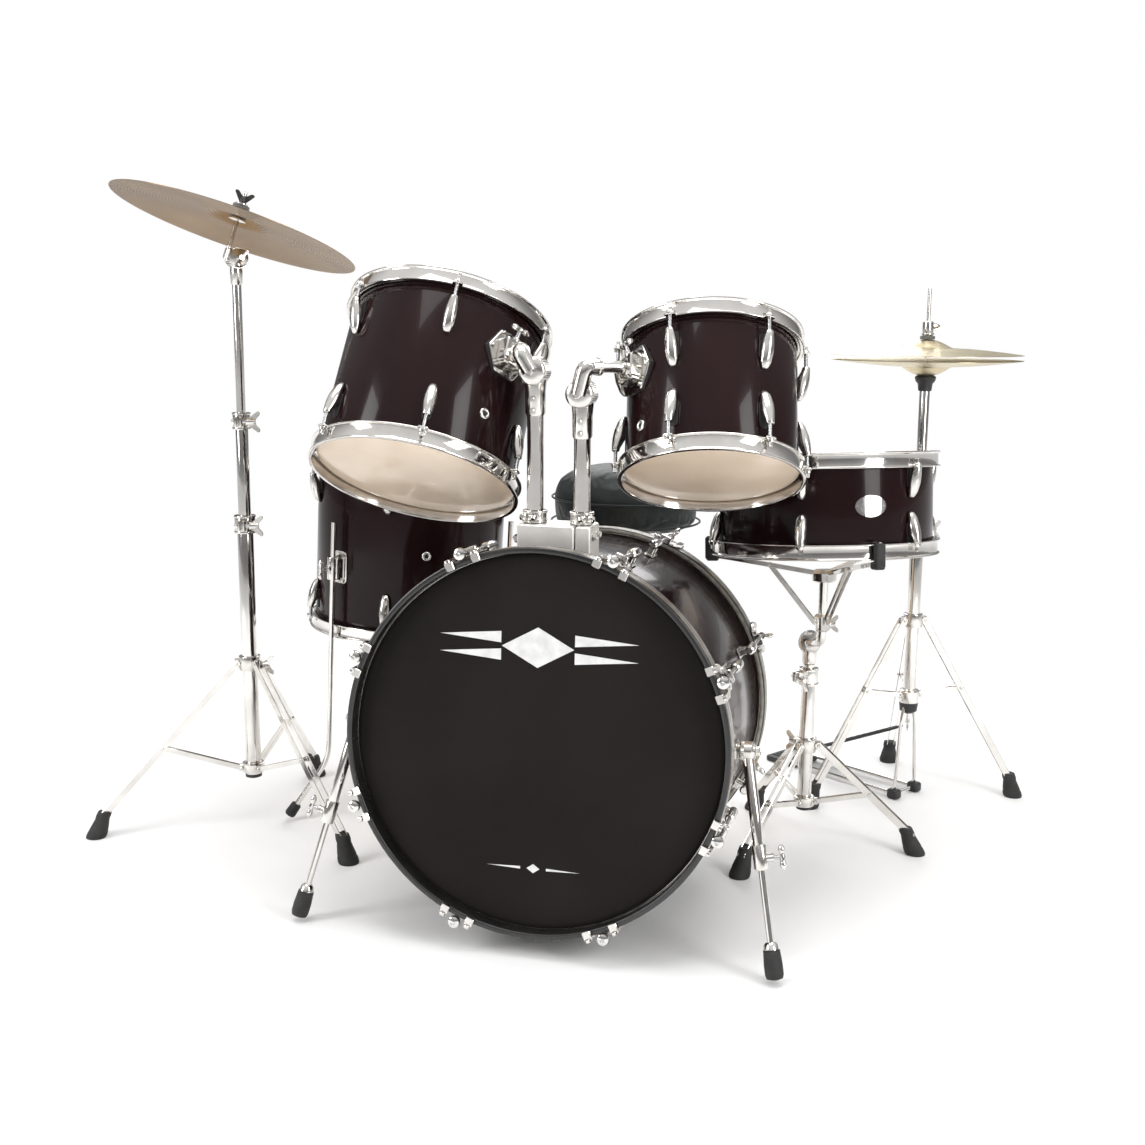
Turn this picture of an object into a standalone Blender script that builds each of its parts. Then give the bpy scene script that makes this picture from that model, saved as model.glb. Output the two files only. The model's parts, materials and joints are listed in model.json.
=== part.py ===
"""Five-drum acoustic kit with a crash cymbal, a hi-hat, a throne and a bass pedal.

Metres, +Z up. The bass drum points towards -Y, so the drummer sits on the +Y side.
Sizes are those of a 22/12/10/14 inch fusion kit with a 14 inch snare drum.
"""
import math

import bmesh
import bpy
from mathutils import Matrix, Vector

INCH = 0.0254
GAP = 0.0003
SLIVER = 0.00002
KIT_SHIFT = Vector((0.0811, -0.3912, 0.0))

# Drum shells: radius and depth
BASS_RADIUS, BASS_DEPTH = 11 * INCH, 16 * INCH
BASS_TILT = math.radians(4.0)
BASS_HOOP_RADIUS, BASS_HOOP_WIDTH = 0.292, 0.038
BASS_LENGTH = 0.450
LEFT_TOM_RADIUS, LEFT_TOM_DEPTH = 6 * INCH, 10 * INCH
RIGHT_TOM_RADIUS, RIGHT_TOM_DEPTH = 5 * INCH, 8 * INCH
FLOOR_TOM_RADIUS, FLOOR_TOM_DEPTH = 7 * INCH, 12 * INCH
SNARE_RADIUS, SNARE_DEPTH = 7 * INCH, 5.5 * INCH
SHELL_WALL = 0.007
HEAD_THICKNESS = 0.0025
HEAD_OVERHANG = 0.0040
HOOP_INSIDE, HOOP_OUTSIDE = 0.0046, 0.0110
HOOP_RISE, HOOP_DROP = 0.0150, 0.0110

# Where each drum stands, and which way its upper head faces
LEFT_TOM_CENTRE, LEFT_TOM_AXIS = Vector((-0.217, -0.034, 0.812)), Vector((0.058, 0.491, 0.869))
RIGHT_TOM_CENTRE, RIGHT_TOM_AXIS = Vector((0.2205, -0.022, 0.806)), Vector((-0.084, 0.431, 0.899))
FLOOR_TOM_CENTRE, FLOOR_TOM_AXIS = Vector((-0.424, 0.400, 0.516)), Vector((0.050, 0.0, 1.0))
SNARE_CENTRE, SNARE_AXIS = Vector((0.372, 0.260, 0.636)), Vector((-0.045, 0.085, 1.0))

# Snare throw-off: its pin in the drum's frame, and the lever in the pin's frame
THROW_ANGLE, THROW_PIN = math.radians(95.0), Vector((SNARE_RADIUS + 0.016, 0.0, -0.022))
THROW_SIZE, THROW_OFFSET = (0.010, 0.016, 0.062), (0.002, 0.0, 0.028)
THROW_PIN_RADIUS, THROW_PIN_HALF = 0.006, 0.013

# Tom mount on the bass drum
MOUNT_Y, MOUNT_TOP = -0.112, 0.637
MOUNT_SIZE_X, MOUNT_SIZE_Y = 0.112, 0.060
POST_X = (-0.028, 0.044)
POST_RADIUS, POST_BOTTOM = 0.0125, 0.455
POST_TOPS = (0.862, 0.830)
POST_CLEARANCE = 0.0006
RATCHET_RADIUS, RATCHET_THICKNESS = 0.021, 0.016
RATCHET_HALF_DEPTH = 0.0135
ARM_RADIUS, ARM_BORE = 0.0095, 0.0102
ELBOW_RADIUS, ELBOW_SHARES, ELBOW_END = 0.0125, (0.65, 0.20), 0.45
BRACKET_ANGLES = (math.radians(-30.0), math.radians(-141.0))
BRACKET_HEIGHTS = (0.046, 0.033)
BRACKET_PLATE, BRACKET_BLOCK, BRACKET_BLOCK_SIZE = 0.004, 0.020, 0.036
BRACKET_PLATE_RADIUS = 0.038

# Bass drum spurs: where each tube starts, and where its foot stands
SPUR_PIVOT_X, SPUR_PIVOT_Y, SPUR_PIVOT_Z = 0.305, -0.150, 0.320
SPUR_FEET = (Vector((-0.388, -0.212, 0.0)), Vector((0.366, -0.232, 0.0)))
SPUR_TUBE_START, SPUR_TUBE_LENGTH = 0.0065, 0.172
SPUR_TUBE_RADIUS, SPUR_TUBE_BORE, SPUR_ROD_RADIUS = 0.0085, 0.0058, 0.0050
SPUR_FOOT_RADIUS, SPUR_FOOT_LENGTH = 0.0135, 0.045
SPUR_HUB_INSIDE, SPUR_HUB_OUTSIDE, SPUR_HUB_RADIUS = 0.0085, 0.010, 0.014
SPUR_PAD_LENGTH, SPUR_PAD_WIDTH = 0.056, 0.036
SPUR_PAD_RISE, SPUR_PAD_SINK = 0.010, 0.004
SPUR_BOSS_RADIUS = 0.0125

# Floor tom legs, numbered anticlockwise from the front
FLOOR_LEG_ANGLES = tuple(math.radians(a) for a in (245.0, 5.0, 125.0))
FLOOR_LEG_OFFSET, FLOOR_LEG_RADIUS, FLOOR_LEG_BORE = 0.018, 0.0050, 0.0054
FLOOR_LEG_TOP = 0.050
FLOOR_LEG_KNEE_HEIGHT, FLOOR_LEG_SPREAD = 0.120, 0.075
FLOOR_FOOT_ANGLES = tuple(math.radians(a) for a in (199.0, 5.0, 125.0))
FLOOR_BRACKET_HEIGHT, FLOOR_BRACKET_LENGTH = -0.035, 0.044

# Tripod stands
TUBE_WALL = 0.0016
BRACE_SHARE, HIHAT_BRACE_SHARE = 0.55, 0.42
RUBBER_RADIUS, RUBBER_HEIGHT = 0.0125, 0.034
CRASH_BASE = Vector((-0.655, 0.170, 0.0))
CRASH_HEIGHTS = {"low": 0.110, "collar": 0.310, "base_top": 0.585, "middle_top": 0.770, "upper_top": 1.034}
CRASH_LEG_ANGLES = tuple(math.radians(a) for a in (211.0, 331.0, 91.0))
CRASH_LEG_REACH = 0.285
CRASH_RADIUS = 8.5 * INCH
CRASH_BELL_RADIUS, CRASH_BELL_HEIGHT, CRASH_BOW = 0.055, 0.017, 0.016
CRASH_ROD_AXIS = Vector((0.228, 0.235, 0.945))
CRASH_ROD_OFFSET, CRASH_ROD_RISE, CRASH_ROD_TOP = 0.022, 0.052, 0.068
CRASH_KNUCKLE_RADIUS = 0.018
HIHAT_BASE = Vector((0.525, 0.660, 0.0))
HIHAT_RADIUS = 7 * INCH
HIHAT_SEAT_HEIGHT = 0.846
HIHAT_OPENING = 0.012
HIHAT_LEG_ANGLES = tuple(math.radians(a) for a in (13.5, 100.0, 215.0))
HIHAT_LEG_REACH = 0.2182
HIHAT_PEDAL_ANGLE = math.radians(146.0)
HIHAT_LOW, HIHAT_COLLAR, HIHAT_TUBE_BOTTOM, HIHAT_BASE_TOP = 0.210, 0.360, 0.184, 0.560
HIHAT_HOUSING_LOW, HIHAT_HOUSING_HIGH = 0.174, 0.197
HIHAT_TOE_HEIGHT, HIHAT_ROD_BOTTOM, HIHAT_ROD_TOP = 0.135, 0.150, 1.000
HIHAT_FRAME_HALF_WIDTH = 0.034
SNARE_BASE = Vector((0.352, 0.330, 0.0))
SNARE_LEG_ANGLES = tuple(math.radians(a) for a in (3.0, 123.0, 243.0))
SNARE_LEG_REACH = 0.200
SNARE_TILTER = Vector((0.352, 0.330, 0.378))
BASKET_ANGLES = tuple(math.radians(a) for a in (-60.0, 60.0, 180.0))
THRONE_BASE = Vector((-0.086, 0.800, 0.0))
THRONE_LEG_ANGLES = tuple(math.radians(a) for a in (0.0, 120.0, 240.0))
THRONE_LEG_REACH = 0.250
THRONE_SEAT_RADIUS, THRONE_SEAT_HEIGHT, THRONE_SEAT_THICKNESS = 0.163, 0.632, 0.135

# Bass pedal
PEDAL_AXLE = Vector((0.0, 0.292, 0.135))
PEDAL_HEEL = Vector((0.0, 0.560, 0.030))
BEATER_LENGTH, BEATER_LEAN = 0.185, math.radians(38.0)

SHELL_STEPS, HOOP_STEPS, CYMBAL_STEPS, TUBE_STEPS, ROD_STEPS = 36, 36, 32, 12, 8

# Colour, roughness and metallic value of each finish
FINISHES = {
    "burgundy_lacquer": ((0.020, 0.010, 0.012, 1.0), 0.15, 0.0),
    "black_lacquer": ((0.012, 0.012, 0.012, 1.0), 0.30, 0.0),
    "black_head": ((0.020, 0.019, 0.018, 1.0), 0.60, 0.0),
    "clear_head": ((0.610, 0.500, 0.380, 1.0), 0.25, 0.0),
    "coated_head": ((0.800, 0.790, 0.760, 1.0), 0.55, 0.0),
    "chrome": ((0.750, 0.750, 0.760, 1.0), 0.12, 1.0),
    "bronze": ((0.480, 0.330, 0.160, 1.0), 0.30, 1.0),
    "brass": ((0.680, 0.580, 0.380, 1.0), 0.28, 1.0),
    "rubber": ((0.020, 0.020, 0.020, 1.0), 0.75, 0.0),
    "vinyl": ((0.015, 0.023, 0.025, 1.0), 0.50, 0.0),
}


# ---------------------------------------------------------------- helpers

def clear_scene():
    for item in list(bpy.data.objects):
        bpy.data.objects.remove(item, do_unlink=True)


def finish_material(name):
    found = bpy.data.materials.get(name)
    if found:
        return found
    colour, roughness, metallic = FINISHES[name]
    material = bpy.data.materials.new(name)
    material.use_nodes = True
    shader = material.node_tree.nodes["Principled BSDF"]
    shader.inputs["Base Color"].default_value = colour
    shader.inputs["Roughness"].default_value = roughness
    shader.inputs["Metallic"].default_value = metallic
    material.diffuse_color = colour
    return material


def frame_matrix(origin, axis, toward=None):
    """A frame at origin whose Z runs along axis and whose X leans towards a given direction."""
    z = Vector(axis).normalized()
    guide = Vector(toward) if toward is not None else Vector((1.0, 0.0, 0.0))
    if abs(guide.normalized().dot(z)) > 0.99:
        guide = Vector((0.0, 1.0, 0.0))
    x = (guide - guide.dot(z) * z).normalized()
    y = z.cross(x)
    rotation = Matrix((x, y, z)).transposed().to_4x4()
    return Matrix.Translation(Vector(origin)) @ rotation


def solid(name, mesh_builder, finish, place=None):
    """Turn a bmesh into a placed object with smooth round faces."""
    mesh = bpy.data.meshes.new(name)
    mesh_builder.to_mesh(mesh)
    mesh_builder.free()
    mesh.shade_smooth()
    mesh.set_sharp_from_angle(angle=math.radians(35.0))
    item = bpy.data.objects.new(name, mesh)
    item.data.materials.append(finish_material(finish))
    bpy.context.scene.collection.objects.link(item)
    if place is not None:
        item.matrix_world = place
    return item


def turned(name, outline, finish, place=None, steps=SHELL_STEPS):
    """Spin an outline of (radius, height) points about Z; points at radius 0 close the solid."""
    builder = bmesh.new()
    points = [builder.verts.new((radius, 0.0, height)) for radius, height in outline]
    edges = [builder.edges.new(pair) for pair in zip(points, points[1:])]
    if outline[0][0] > 0.0:
        edges.append(builder.edges.new((points[-1], points[0])))
    bmesh.ops.spin(builder, geom=points + edges, cent=(0, 0, 0), axis=(0, 0, 1),
                   angle=2.0 * math.pi, steps=steps, use_merge=True)
    bmesh.ops.remove_doubles(builder, verts=builder.verts, dist=1e-6)
    bmesh.ops.recalc_face_normals(builder, faces=builder.faces)
    return solid(name, builder, finish, place)


def ring(name, inside, outside, low, high, finish, place=None, steps=HOOP_STEPS):
    outline = [(inside, low), (outside, low), (outside, high), (inside, high)]
    return turned(name, outline, finish, place, steps)


def disc(name, radius, low, high, finish, place=None, steps=HOOP_STEPS):
    return turned(name, [(0.0, low), (radius, low), (radius, high), (0.0, high)], finish, place, steps)


def bar(name, start, end, radius, finish="chrome", steps=ROD_STEPS):
    """A round bar from start to end."""
    start, end = Vector(start), Vector(end)
    return disc(name, radius, 0.0, (end - start).length, finish, frame_matrix(start, end - start), steps)


def pipe(name, start, end, inside, outside, finish="chrome", steps=TUBE_STEPS):
    """A round tube, open at both ends, from start to end."""
    start, end = Vector(start), Vector(end)
    place = frame_matrix(start, end - start)
    return ring(name, inside, outside, 0.0, (end - start).length, finish, place, steps)


def bent_bar(name, points, radius, finish="chrome"):
    """A round bar that follows a line of points."""
    curve = bpy.data.curves.new(name, "CURVE")
    curve.dimensions = "3D"
    curve.bevel_depth = radius
    curve.bevel_resolution = 2
    curve.use_fill_caps = True
    spline = curve.splines.new("POLY")
    spline.points.add(len(points) - 1)
    for target, point in zip(spline.points, points):
        target.co = (*point, 1.0)
    guide = bpy.data.objects.new(name, curve)
    bpy.context.scene.collection.objects.link(guide)
    mesh = evaluated_mesh(guide)
    bpy.data.objects.remove(guide, do_unlink=True)
    builder = bmesh.new()
    builder.from_mesh(mesh)
    bmesh.ops.remove_doubles(builder, verts=builder.verts, dist=1e-6)
    bmesh.ops.recalc_face_normals(builder, faces=builder.faces)
    return solid(name, builder, finish)


def block(name, size, finish="chrome", place=None, centre=(0.0, 0.0, 0.0)):
    builder = bmesh.new()
    bmesh.ops.create_cube(builder, size=1.0)
    bmesh.ops.scale(builder, vec=Vector(size), verts=builder.verts)
    bmesh.ops.translate(builder, vec=Vector(centre), verts=builder.verts)
    return solid(name, builder, finish, place)


def evaluated_mesh(item):
    bpy.context.view_layer.update()
    graph = bpy.context.evaluated_depsgraph_get()
    return bpy.data.meshes.new_from_object(item.evaluated_get(graph))


def combine(item, tools, operation):
    """Join or cut an object with others, which are used up."""
    for tool in tools:
        modifier = item.modifiers.new(operation.lower(), "BOOLEAN")
        modifier.operation = operation
        modifier.object = tool
    mesh = evaluated_mesh(item)
    item.modifiers.clear()
    item.data = mesh
    merge_slivers(mesh)
    mesh.shade_smooth()
    mesh.set_sharp_from_angle(angle=math.radians(35.0))
    for tool in tools:
        bpy.data.objects.remove(tool, do_unlink=True)
    return item


def merge_slivers(mesh):
    """Close up the hair-thin faces that a cut leaves."""
    builder = bmesh.new()
    builder.from_mesh(mesh)
    bmesh.ops.remove_doubles(builder, verts=builder.verts, dist=SLIVER)
    bmesh.ops.dissolve_degenerate(builder, edges=builder.edges, dist=SLIVER)
    builder.to_mesh(mesh)
    builder.free()


def fuse(item, tools):
    return combine(item, tools, "UNION")


def cut(item, tools):
    return combine(item, tools, "DIFFERENCE")


def radial(angle, radius, height=0.0):
    return Vector((radius * math.cos(angle), radius * math.sin(angle), height))


# ---------------------------------------------------------------- drums

def drum_place(centre, axis):
    return frame_matrix(centre, axis)


def drum_shell(name, radius, depth, place):
    half = depth / 2.0
    return ring(name, radius - SHELL_WALL, radius, -half, half, "burgundy_lacquer", place, SHELL_STEPS)


def drum_heads(name, radius, depth, place, lower_finish="clear_head"):
    """Upper and lower skins, resting on the bearing edges."""
    low = depth / 2.0 + GAP
    high = low + HEAD_THICKNESS
    outside = radius + HEAD_OVERHANG
    disc(name + "_top_head", outside, low, high, "coated_head", place)
    disc(name + "_bottom_head", outside, -high, -low, lower_finish, place)


def drum_hoops(name, radius, depth, place):
    """Flanged steel hoops that pull the skins down over the shell."""
    low = depth / 2.0 - HOOP_DROP
    high = depth / 2.0 + HOOP_RISE
    inside, outside = radius + HOOP_INSIDE, radius + HOOP_OUTSIDE
    ring(name + "_top_hoop", inside, outside, low, high, "chrome", place)
    ring(name + "_bottom_hoop", inside, outside, -high, -low, "chrome", place)


def steel_hooped_drum(name, radius, depth, place):
    shell = drum_shell(name + "_shell", radius, depth, place)
    drum_heads(name, radius, depth, place)
    drum_hoops(name, radius, depth, place)
    return shell


# ---------------------------------------------------------------- bass drum

def bass_axis():
    return Vector((0.0, -math.cos(BASS_TILT), math.sin(BASS_TILT)))


def bass_centre():
    """High enough for the rear hoop's lowest edge to touch the ground."""
    height = BASS_HOOP_RADIUS * math.cos(BASS_TILT) + BASS_LENGTH / 2.0 * math.sin(BASS_TILT)
    return Vector((0.0, 0.0, height))


def bass_drum():
    place = frame_matrix(bass_centre(), bass_axis())
    shell = drum_shell("bass_shell", BASS_RADIUS, BASS_DEPTH, place)
    holes = [bar("post_hole", (x, MOUNT_Y, POST_BOTTOM), (x, MOUNT_Y, MOUNT_TOP), POST_RADIUS + 0.002)
             for x in POST_X]
    cut(shell, holes)
    fuse(shell, spur_bracket(0) + spur_bracket(1))
    low = BASS_DEPTH / 2.0 + GAP
    high = low + HEAD_THICKNESS
    disc("bass_front_head", BASS_RADIUS + 0.003, low, high, "black_head", place)
    disc("bass_batter_head", BASS_RADIUS + 0.003, -high, -low, "clear_head", place)
    far = BASS_LENGTH / 2.0
    near = far - BASS_HOOP_WIDTH
    inside = BASS_HOOP_RADIUS - 0.009
    ring("bass_front_hoop", inside, BASS_HOOP_RADIUS, near, far, "black_lacquer", place)
    ring("bass_rear_hoop", inside, BASS_HOOP_RADIUS, -far, -near, "black_lacquer", place)


def tom_mount():
    """Cast block saddled on the shell, bored for the two posts."""
    bottom = bass_centre().z + BASS_RADIUS - 0.030
    size = (MOUNT_SIZE_X, MOUNT_SIZE_Y, MOUNT_TOP - bottom)
    centre = (sum(POST_X) / 2.0, MOUNT_Y, (MOUNT_TOP + bottom) / 2.0)
    mount = block("tom_mount_block", size, "chrome", None, centre)
    reach = bass_axis() * BASS_DEPTH / 2.0
    drum = bar("drum", bass_centre() - reach, bass_centre() + reach, BASS_RADIUS + 0.0005, "chrome", 120)
    bores = [bar("bore", (x, MOUNT_Y, bottom - 0.01), (x, MOUNT_Y, MOUNT_TOP + 0.01),
                 POST_RADIUS + POST_CLEARANCE, "chrome", TUBE_STEPS) for x in POST_X]
    cut(mount, [drum] + bores)


def bracket_frame(side, centre, axis, radius):
    """Frame on the shell's surface: Z points outwards, Y runs up the drum."""
    drum = drum_place(centre, axis)
    outward = drum.to_3x3() @ radial(BRACKET_ANGLES[side], 1.0)
    up = Vector(axis).normalized()
    origin = Vector(centre) + outward * radius + up * BRACKET_HEIGHTS[side]
    return frame_matrix(origin, outward, up.cross(outward))


def tom_bracket(name, place):
    """Six-sided plate with a bored clamp block."""
    plate = disc(name, BRACKET_PLATE_RADIUS, 0.0005, BRACKET_PLATE, "chrome", place, 6)
    size = (BRACKET_BLOCK_SIZE, BRACKET_BLOCK_SIZE, BRACKET_BLOCK - 0.001)
    clamp = block("clamp", size, "chrome", place, (0.0, 0.0, 0.001 + size[2] / 2.0))
    fuse(plate, [clamp])
    bore = bar("bore", place @ Vector((0, 0, 0.003)), place @ Vector((0, 0, 0.05)), ARM_BORE, "chrome", 16)
    cut(plate, [bore])


def post_and_arm(side, name, place):
    """Upright post with half a ratchet, and an arm with the other half."""
    x, top = POST_X[side], POST_TOPS[side]
    post = bar(name + "_post", (x, MOUNT_Y, POST_BOTTOM), (x, MOUNT_Y, top), POST_RADIUS,
               "chrome", TUBE_STEPS)
    rear_face, middle_face = MOUNT_Y + RATCHET_HALF_DEPTH, MOUNT_Y - RATCHET_HALF_DEPTH
    rear = bar("rear_ratchet", (x, rear_face, top), (x, middle_face, top), RATCHET_RADIUS, "chrome", 16)
    fuse(post, [rear])
    back = Vector((x, middle_face - GAP, top))
    front = back - Vector((0.0, RATCHET_THICKNESS, 0.0))
    start = back.lerp(front, 0.80)
    arm = bar(name + "_arm", back, front, RATCHET_RADIUS, "chrome", 16)
    knee = place @ Vector((0.0, 0.0, 0.034))
    tip = place @ Vector((0.0, 0.0, 0.0045))
    corner = Vector((x + ELBOW_SHARES[side] * (knee.x - x), start.y, knee.z))
    elbow = bent_bar("elbow", [start, corner, corner.lerp(knee, ELBOW_END)], ELBOW_RADIUS)
    rod = bent_bar("rod", [corner.lerp(knee, ELBOW_END / 2.0), knee, tip], ARM_RADIUS)
    fuse(arm, [elbow, rod])


def rack_toms():
    drums = (("left_tom", LEFT_TOM_CENTRE, LEFT_TOM_AXIS, LEFT_TOM_RADIUS, LEFT_TOM_DEPTH),
             ("right_tom", RIGHT_TOM_CENTRE, RIGHT_TOM_AXIS, RIGHT_TOM_RADIUS, RIGHT_TOM_DEPTH))
    for side, (name, centre, axis, radius, depth) in enumerate(drums):
        steel_hooped_drum(name, radius, depth, drum_place(centre, axis))
        place = bracket_frame(side, centre, axis, radius)
        tom_bracket(name + "_bracket", place)
        post_and_arm(side, name, place)


def spur_pivot(side):
    return Vector(((-SPUR_PIVOT_X, SPUR_PIVOT_X)[side], SPUR_PIVOT_Y, SPUR_PIVOT_Z))


def spur_bracket(side):
    """Pad bolted to the shell, with the boss that the spur's hub turns against."""
    pivot = spur_pivot(side)
    on_axis = bass_centre() + bass_axis() * (pivot - bass_centre()).dot(bass_axis())
    outward = (pivot - on_axis).normalized()
    seat = on_axis + outward * BASS_RADIUS
    pad = block("pad", (SPUR_PAD_LENGTH, SPUR_PAD_WIDTH, SPUR_PAD_SINK + SPUR_PAD_RISE), "chrome",
                frame_matrix(seat, outward, bass_axis()),
                (0.0, 0.0, (SPUR_PAD_RISE - SPUR_PAD_SINK) / 2.0))
    across = Vector((outward.x, 0.0, 0.0)).normalized()
    boss = bar("boss", Vector((seat.x, pivot.y, pivot.z)),
               pivot - across * (SPUR_HUB_INSIDE + GAP), SPUR_BOSS_RADIUS, "chrome", 16)
    return [pad, boss]


def spur(side):
    name = ("left_spur", "right_spur")[side]
    sign = (-1.0, 1.0)[side]
    pivot = spur_pivot(side)
    foot = SPUR_FEET[side]
    along = (foot - pivot).normalized()
    socket = pivot + along * SPUR_TUBE_LENGTH
    tube = bar(name + "_tube", pivot - Vector((sign * SPUR_HUB_INSIDE, 0, 0)),
               pivot + Vector((sign * SPUR_HUB_OUTSIDE, 0, 0)), SPUR_HUB_RADIUS, "chrome", 16)
    barrel = bar("barrel", pivot + along * SPUR_TUBE_START, socket, SPUR_TUBE_RADIUS, "chrome", 12)
    fuse(tube, [barrel])
    inner_end = pivot + along * 0.025
    bore = bar("bore", inner_end, socket + along * 0.01, SPUR_TUBE_BORE, "chrome", 12)
    cut(tube, [bore])
    tip = foot + Vector((0, 0, 0.0012)) - along * 0.006
    rod = bar(name + "_rod", inner_end + along * 0.012, tip - along * 0.01, SPUR_ROD_RADIUS)
    start = tip - along * SPUR_FOOT_LENGTH
    rubber = bar("rubber", start, tip, SPUR_FOOT_RADIUS, "rubber", 12)
    fuse(rod, [rubber])


# ---------------------------------------------------------------- floor tom

def floor_tom():
    place = drum_place(FLOOR_TOM_CENTRE, FLOOR_TOM_AXIS)
    shell = steel_hooped_drum("floor_tom", FLOOR_TOM_RADIUS, FLOOR_TOM_DEPTH, place)
    brackets = []
    bores = []
    for angle in FLOOR_LEG_ANGLES:
        foot = place @ radial(angle, FLOOR_TOM_RADIUS + FLOOR_LEG_OFFSET, FLOOR_BRACKET_HEIGHT)
        turn = frame_matrix(foot, FLOOR_TOM_AXIS, place.to_3x3() @ radial(angle, 1.0))
        depth = FLOOR_LEG_OFFSET + 0.010
        size = (depth + 0.003, 0.022, FLOOR_BRACKET_LENGTH)
        brackets.append(block("bracket", size, "chrome", turn, (0.010 - size[0] / 2.0, 0.0, 0.0)))
        up = Vector(FLOOR_TOM_AXIS).normalized()
        bores.append(bar("bore", foot - up * 0.04, foot + up * 0.04, FLOOR_LEG_BORE, "chrome", 12))
    fuse(shell, brackets)
    cut(shell, bores)
    for number, angles in enumerate(zip(FLOOR_LEG_ANGLES, FLOOR_FOOT_ANGLES), start=1):
        floor_tom_leg(number, *angles, place)


def floor_tom_leg(number, angle, foot_angle, place):
    """Rod through its bracket, bent sideways above a rubber foot."""
    top = place @ radial(angle, FLOOR_TOM_RADIUS + FLOOR_LEG_OFFSET, FLOOR_LEG_TOP)
    down = -Vector(FLOOR_TOM_AXIS).normalized()
    knee = top + down * ((top.z - FLOOR_LEG_KNEE_HEIGHT) / -down.z)
    foot = knee + radial(foot_angle, FLOOR_LEG_SPREAD)
    foot.z = 0.012
    leg = bent_bar("floor_tom_leg_%d" % number, [top, knee, foot], FLOOR_LEG_RADIUS)
    along = (foot - knee).normalized()
    rubber = bar("rubber", foot - along * 0.022, foot + along * 0.002, 0.0095, "rubber", 12)
    fuse(leg, [rubber])


# ---------------------------------------------------------------- tripods

def tripod_parts(base, low, collar, reach, angles, tube_outside, brace_share):
    """Collars, legs with rubber feet, and the lower braces of a tripod stand."""
    parts = []
    for height in (low, collar):
        parts.append(ring("collar", tube_outside - 0.0008, tube_outside + 0.012,
                          height - 0.011, height + 0.011,
                          "chrome", Matrix.Translation(base), TUBE_STEPS))
    for angle in angles:
        shoulder = base + radial(angle, tube_outside + 0.008, collar)
        ankle = base + radial(angle, reach, RUBBER_HEIGHT * 0.6)
        hip = base + radial(angle, tube_outside + 0.006, low)
        middle = shoulder.lerp(ankle, brace_share)
        parts.append(bar("leg", shoulder, ankle, 0.0075))
        parts.append(bar("brace", hip, middle, 0.0040, "chrome", 5))
        foot = base + radial(angle, reach, 0.0)
        parts.append(bar("rubber", foot, foot + Vector((0, 0, RUBBER_HEIGHT)), RUBBER_RADIUS, "rubber", 10))
    return parts


def tripod_base(name, base, bottom, top, low, collar, reach, angles, outside, brace_share=BRACE_SHARE):
    """Hollow lower tube on three legs."""
    foot, head = base + Vector((0, 0, bottom)), base + Vector((0, 0, top))
    tube = pipe(name, foot, head, outside - TUBE_WALL, outside)
    return fuse(tube, tripod_parts(base, low, collar, reach, angles, outside, brace_share))


def clamp_collar(base, height, inside, outside):
    """Clamp at the top of a tube, with a lug for its wing screw."""
    place = Matrix.Translation(base)
    return ring("clamp", inside, outside, height - 0.031, height - 0.001, "chrome", place, TUBE_STEPS)


# ---------------------------------------------------------------- crash cymbal

def cymbal_outline(radius, bell_radius, bell_height, bow, thickness, hole):
    """Thin bowed section with a raised bell, top side out and under side back."""
    steps = 3
    flank = [(bell_radius + (radius - bell_radius) * i / steps) for i in range(steps + 1)]
    top = [(hole, bell_height + bow), (bell_radius * 0.55, bell_height * 0.8 + bow)]
    top += [(r, bow * (1.0 - ((r - bell_radius) / (radius - bell_radius)) ** 1.6)) for r in flank]
    under = [(r, z - thickness) for r, z in reversed(top)]
    return top + under


def crash_stand():
    low, collar = CRASH_HEIGHTS["low"], CRASH_HEIGHTS["collar"]
    base_top, middle_top, upper_top = (CRASH_HEIGHTS[k] for k in ("base_top", "middle_top", "upper_top"))
    base_outside, middle_outside, upper_outside = 0.0143, 0.0111, 0.0079
    stand = tripod_base("crash_base", CRASH_BASE, 0.092, base_top, low, collar, CRASH_LEG_REACH,
                        CRASH_LEG_ANGLES, base_outside)
    fuse(stand, [clamp_collar(CRASH_BASE, base_top, base_outside - 0.0010, base_outside + 0.0045)])
    middle = pipe("crash_middle_tube", CRASH_BASE + Vector((0, 0, base_top - 0.180)),
                  CRASH_BASE + Vector((0, 0, middle_top)), middle_outside - TUBE_WALL, middle_outside)
    fuse(middle, [clamp_collar(CRASH_BASE, middle_top, middle_outside - 0.0010, middle_outside + 0.0045)])
    upper = bar("crash_upper_tube", CRASH_BASE + Vector((0, 0, middle_top - 0.180)),
                CRASH_BASE + Vector((0, 0, upper_top)), upper_outside, "chrome", TUBE_STEPS)
    pivot = crash_pivot()
    hinge = crash_hinge()
    fork = bar("fork", pivot - hinge * 0.0170, pivot - hinge * GAP, CRASH_KNUCKLE_RADIUS, "chrome", 16)
    fuse(upper, [fork])
    crash_tilter(pivot)
    centre = crash_centre()
    outline = cymbal_outline(CRASH_RADIUS, CRASH_BELL_RADIUS, CRASH_BELL_HEIGHT, CRASH_BOW, 0.0016, 0.0055)
    turned("crash_cymbal", outline, "bronze", frame_matrix(centre, CRASH_ROD_AXIS), CYMBAL_STEPS)


def crash_hinge():
    """Level axis the rod leans about, from the upper tube's knuckle towards the tilter's."""
    return CRASH_ROD_AXIS.cross(Vector((0.0, 0.0, 1.0))).normalized()


def crash_pivot():
    """Middle of the joint face between the upper tube's knuckle and the tilter's."""
    return CRASH_BASE + crash_hinge() * 0.0085 + Vector((0.0, 0.0, CRASH_HEIGHTS["upper_top"] + 0.004))


def crash_rod_foot():
    """Where the rod passes the tilter's knuckle, on the side away from its lean."""
    hinge = crash_hinge()
    lean = Vector((0.0, 0.0, 1.0)).cross(hinge)
    return crash_pivot() + hinge * 0.0060 - lean * CRASH_ROD_OFFSET


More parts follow.
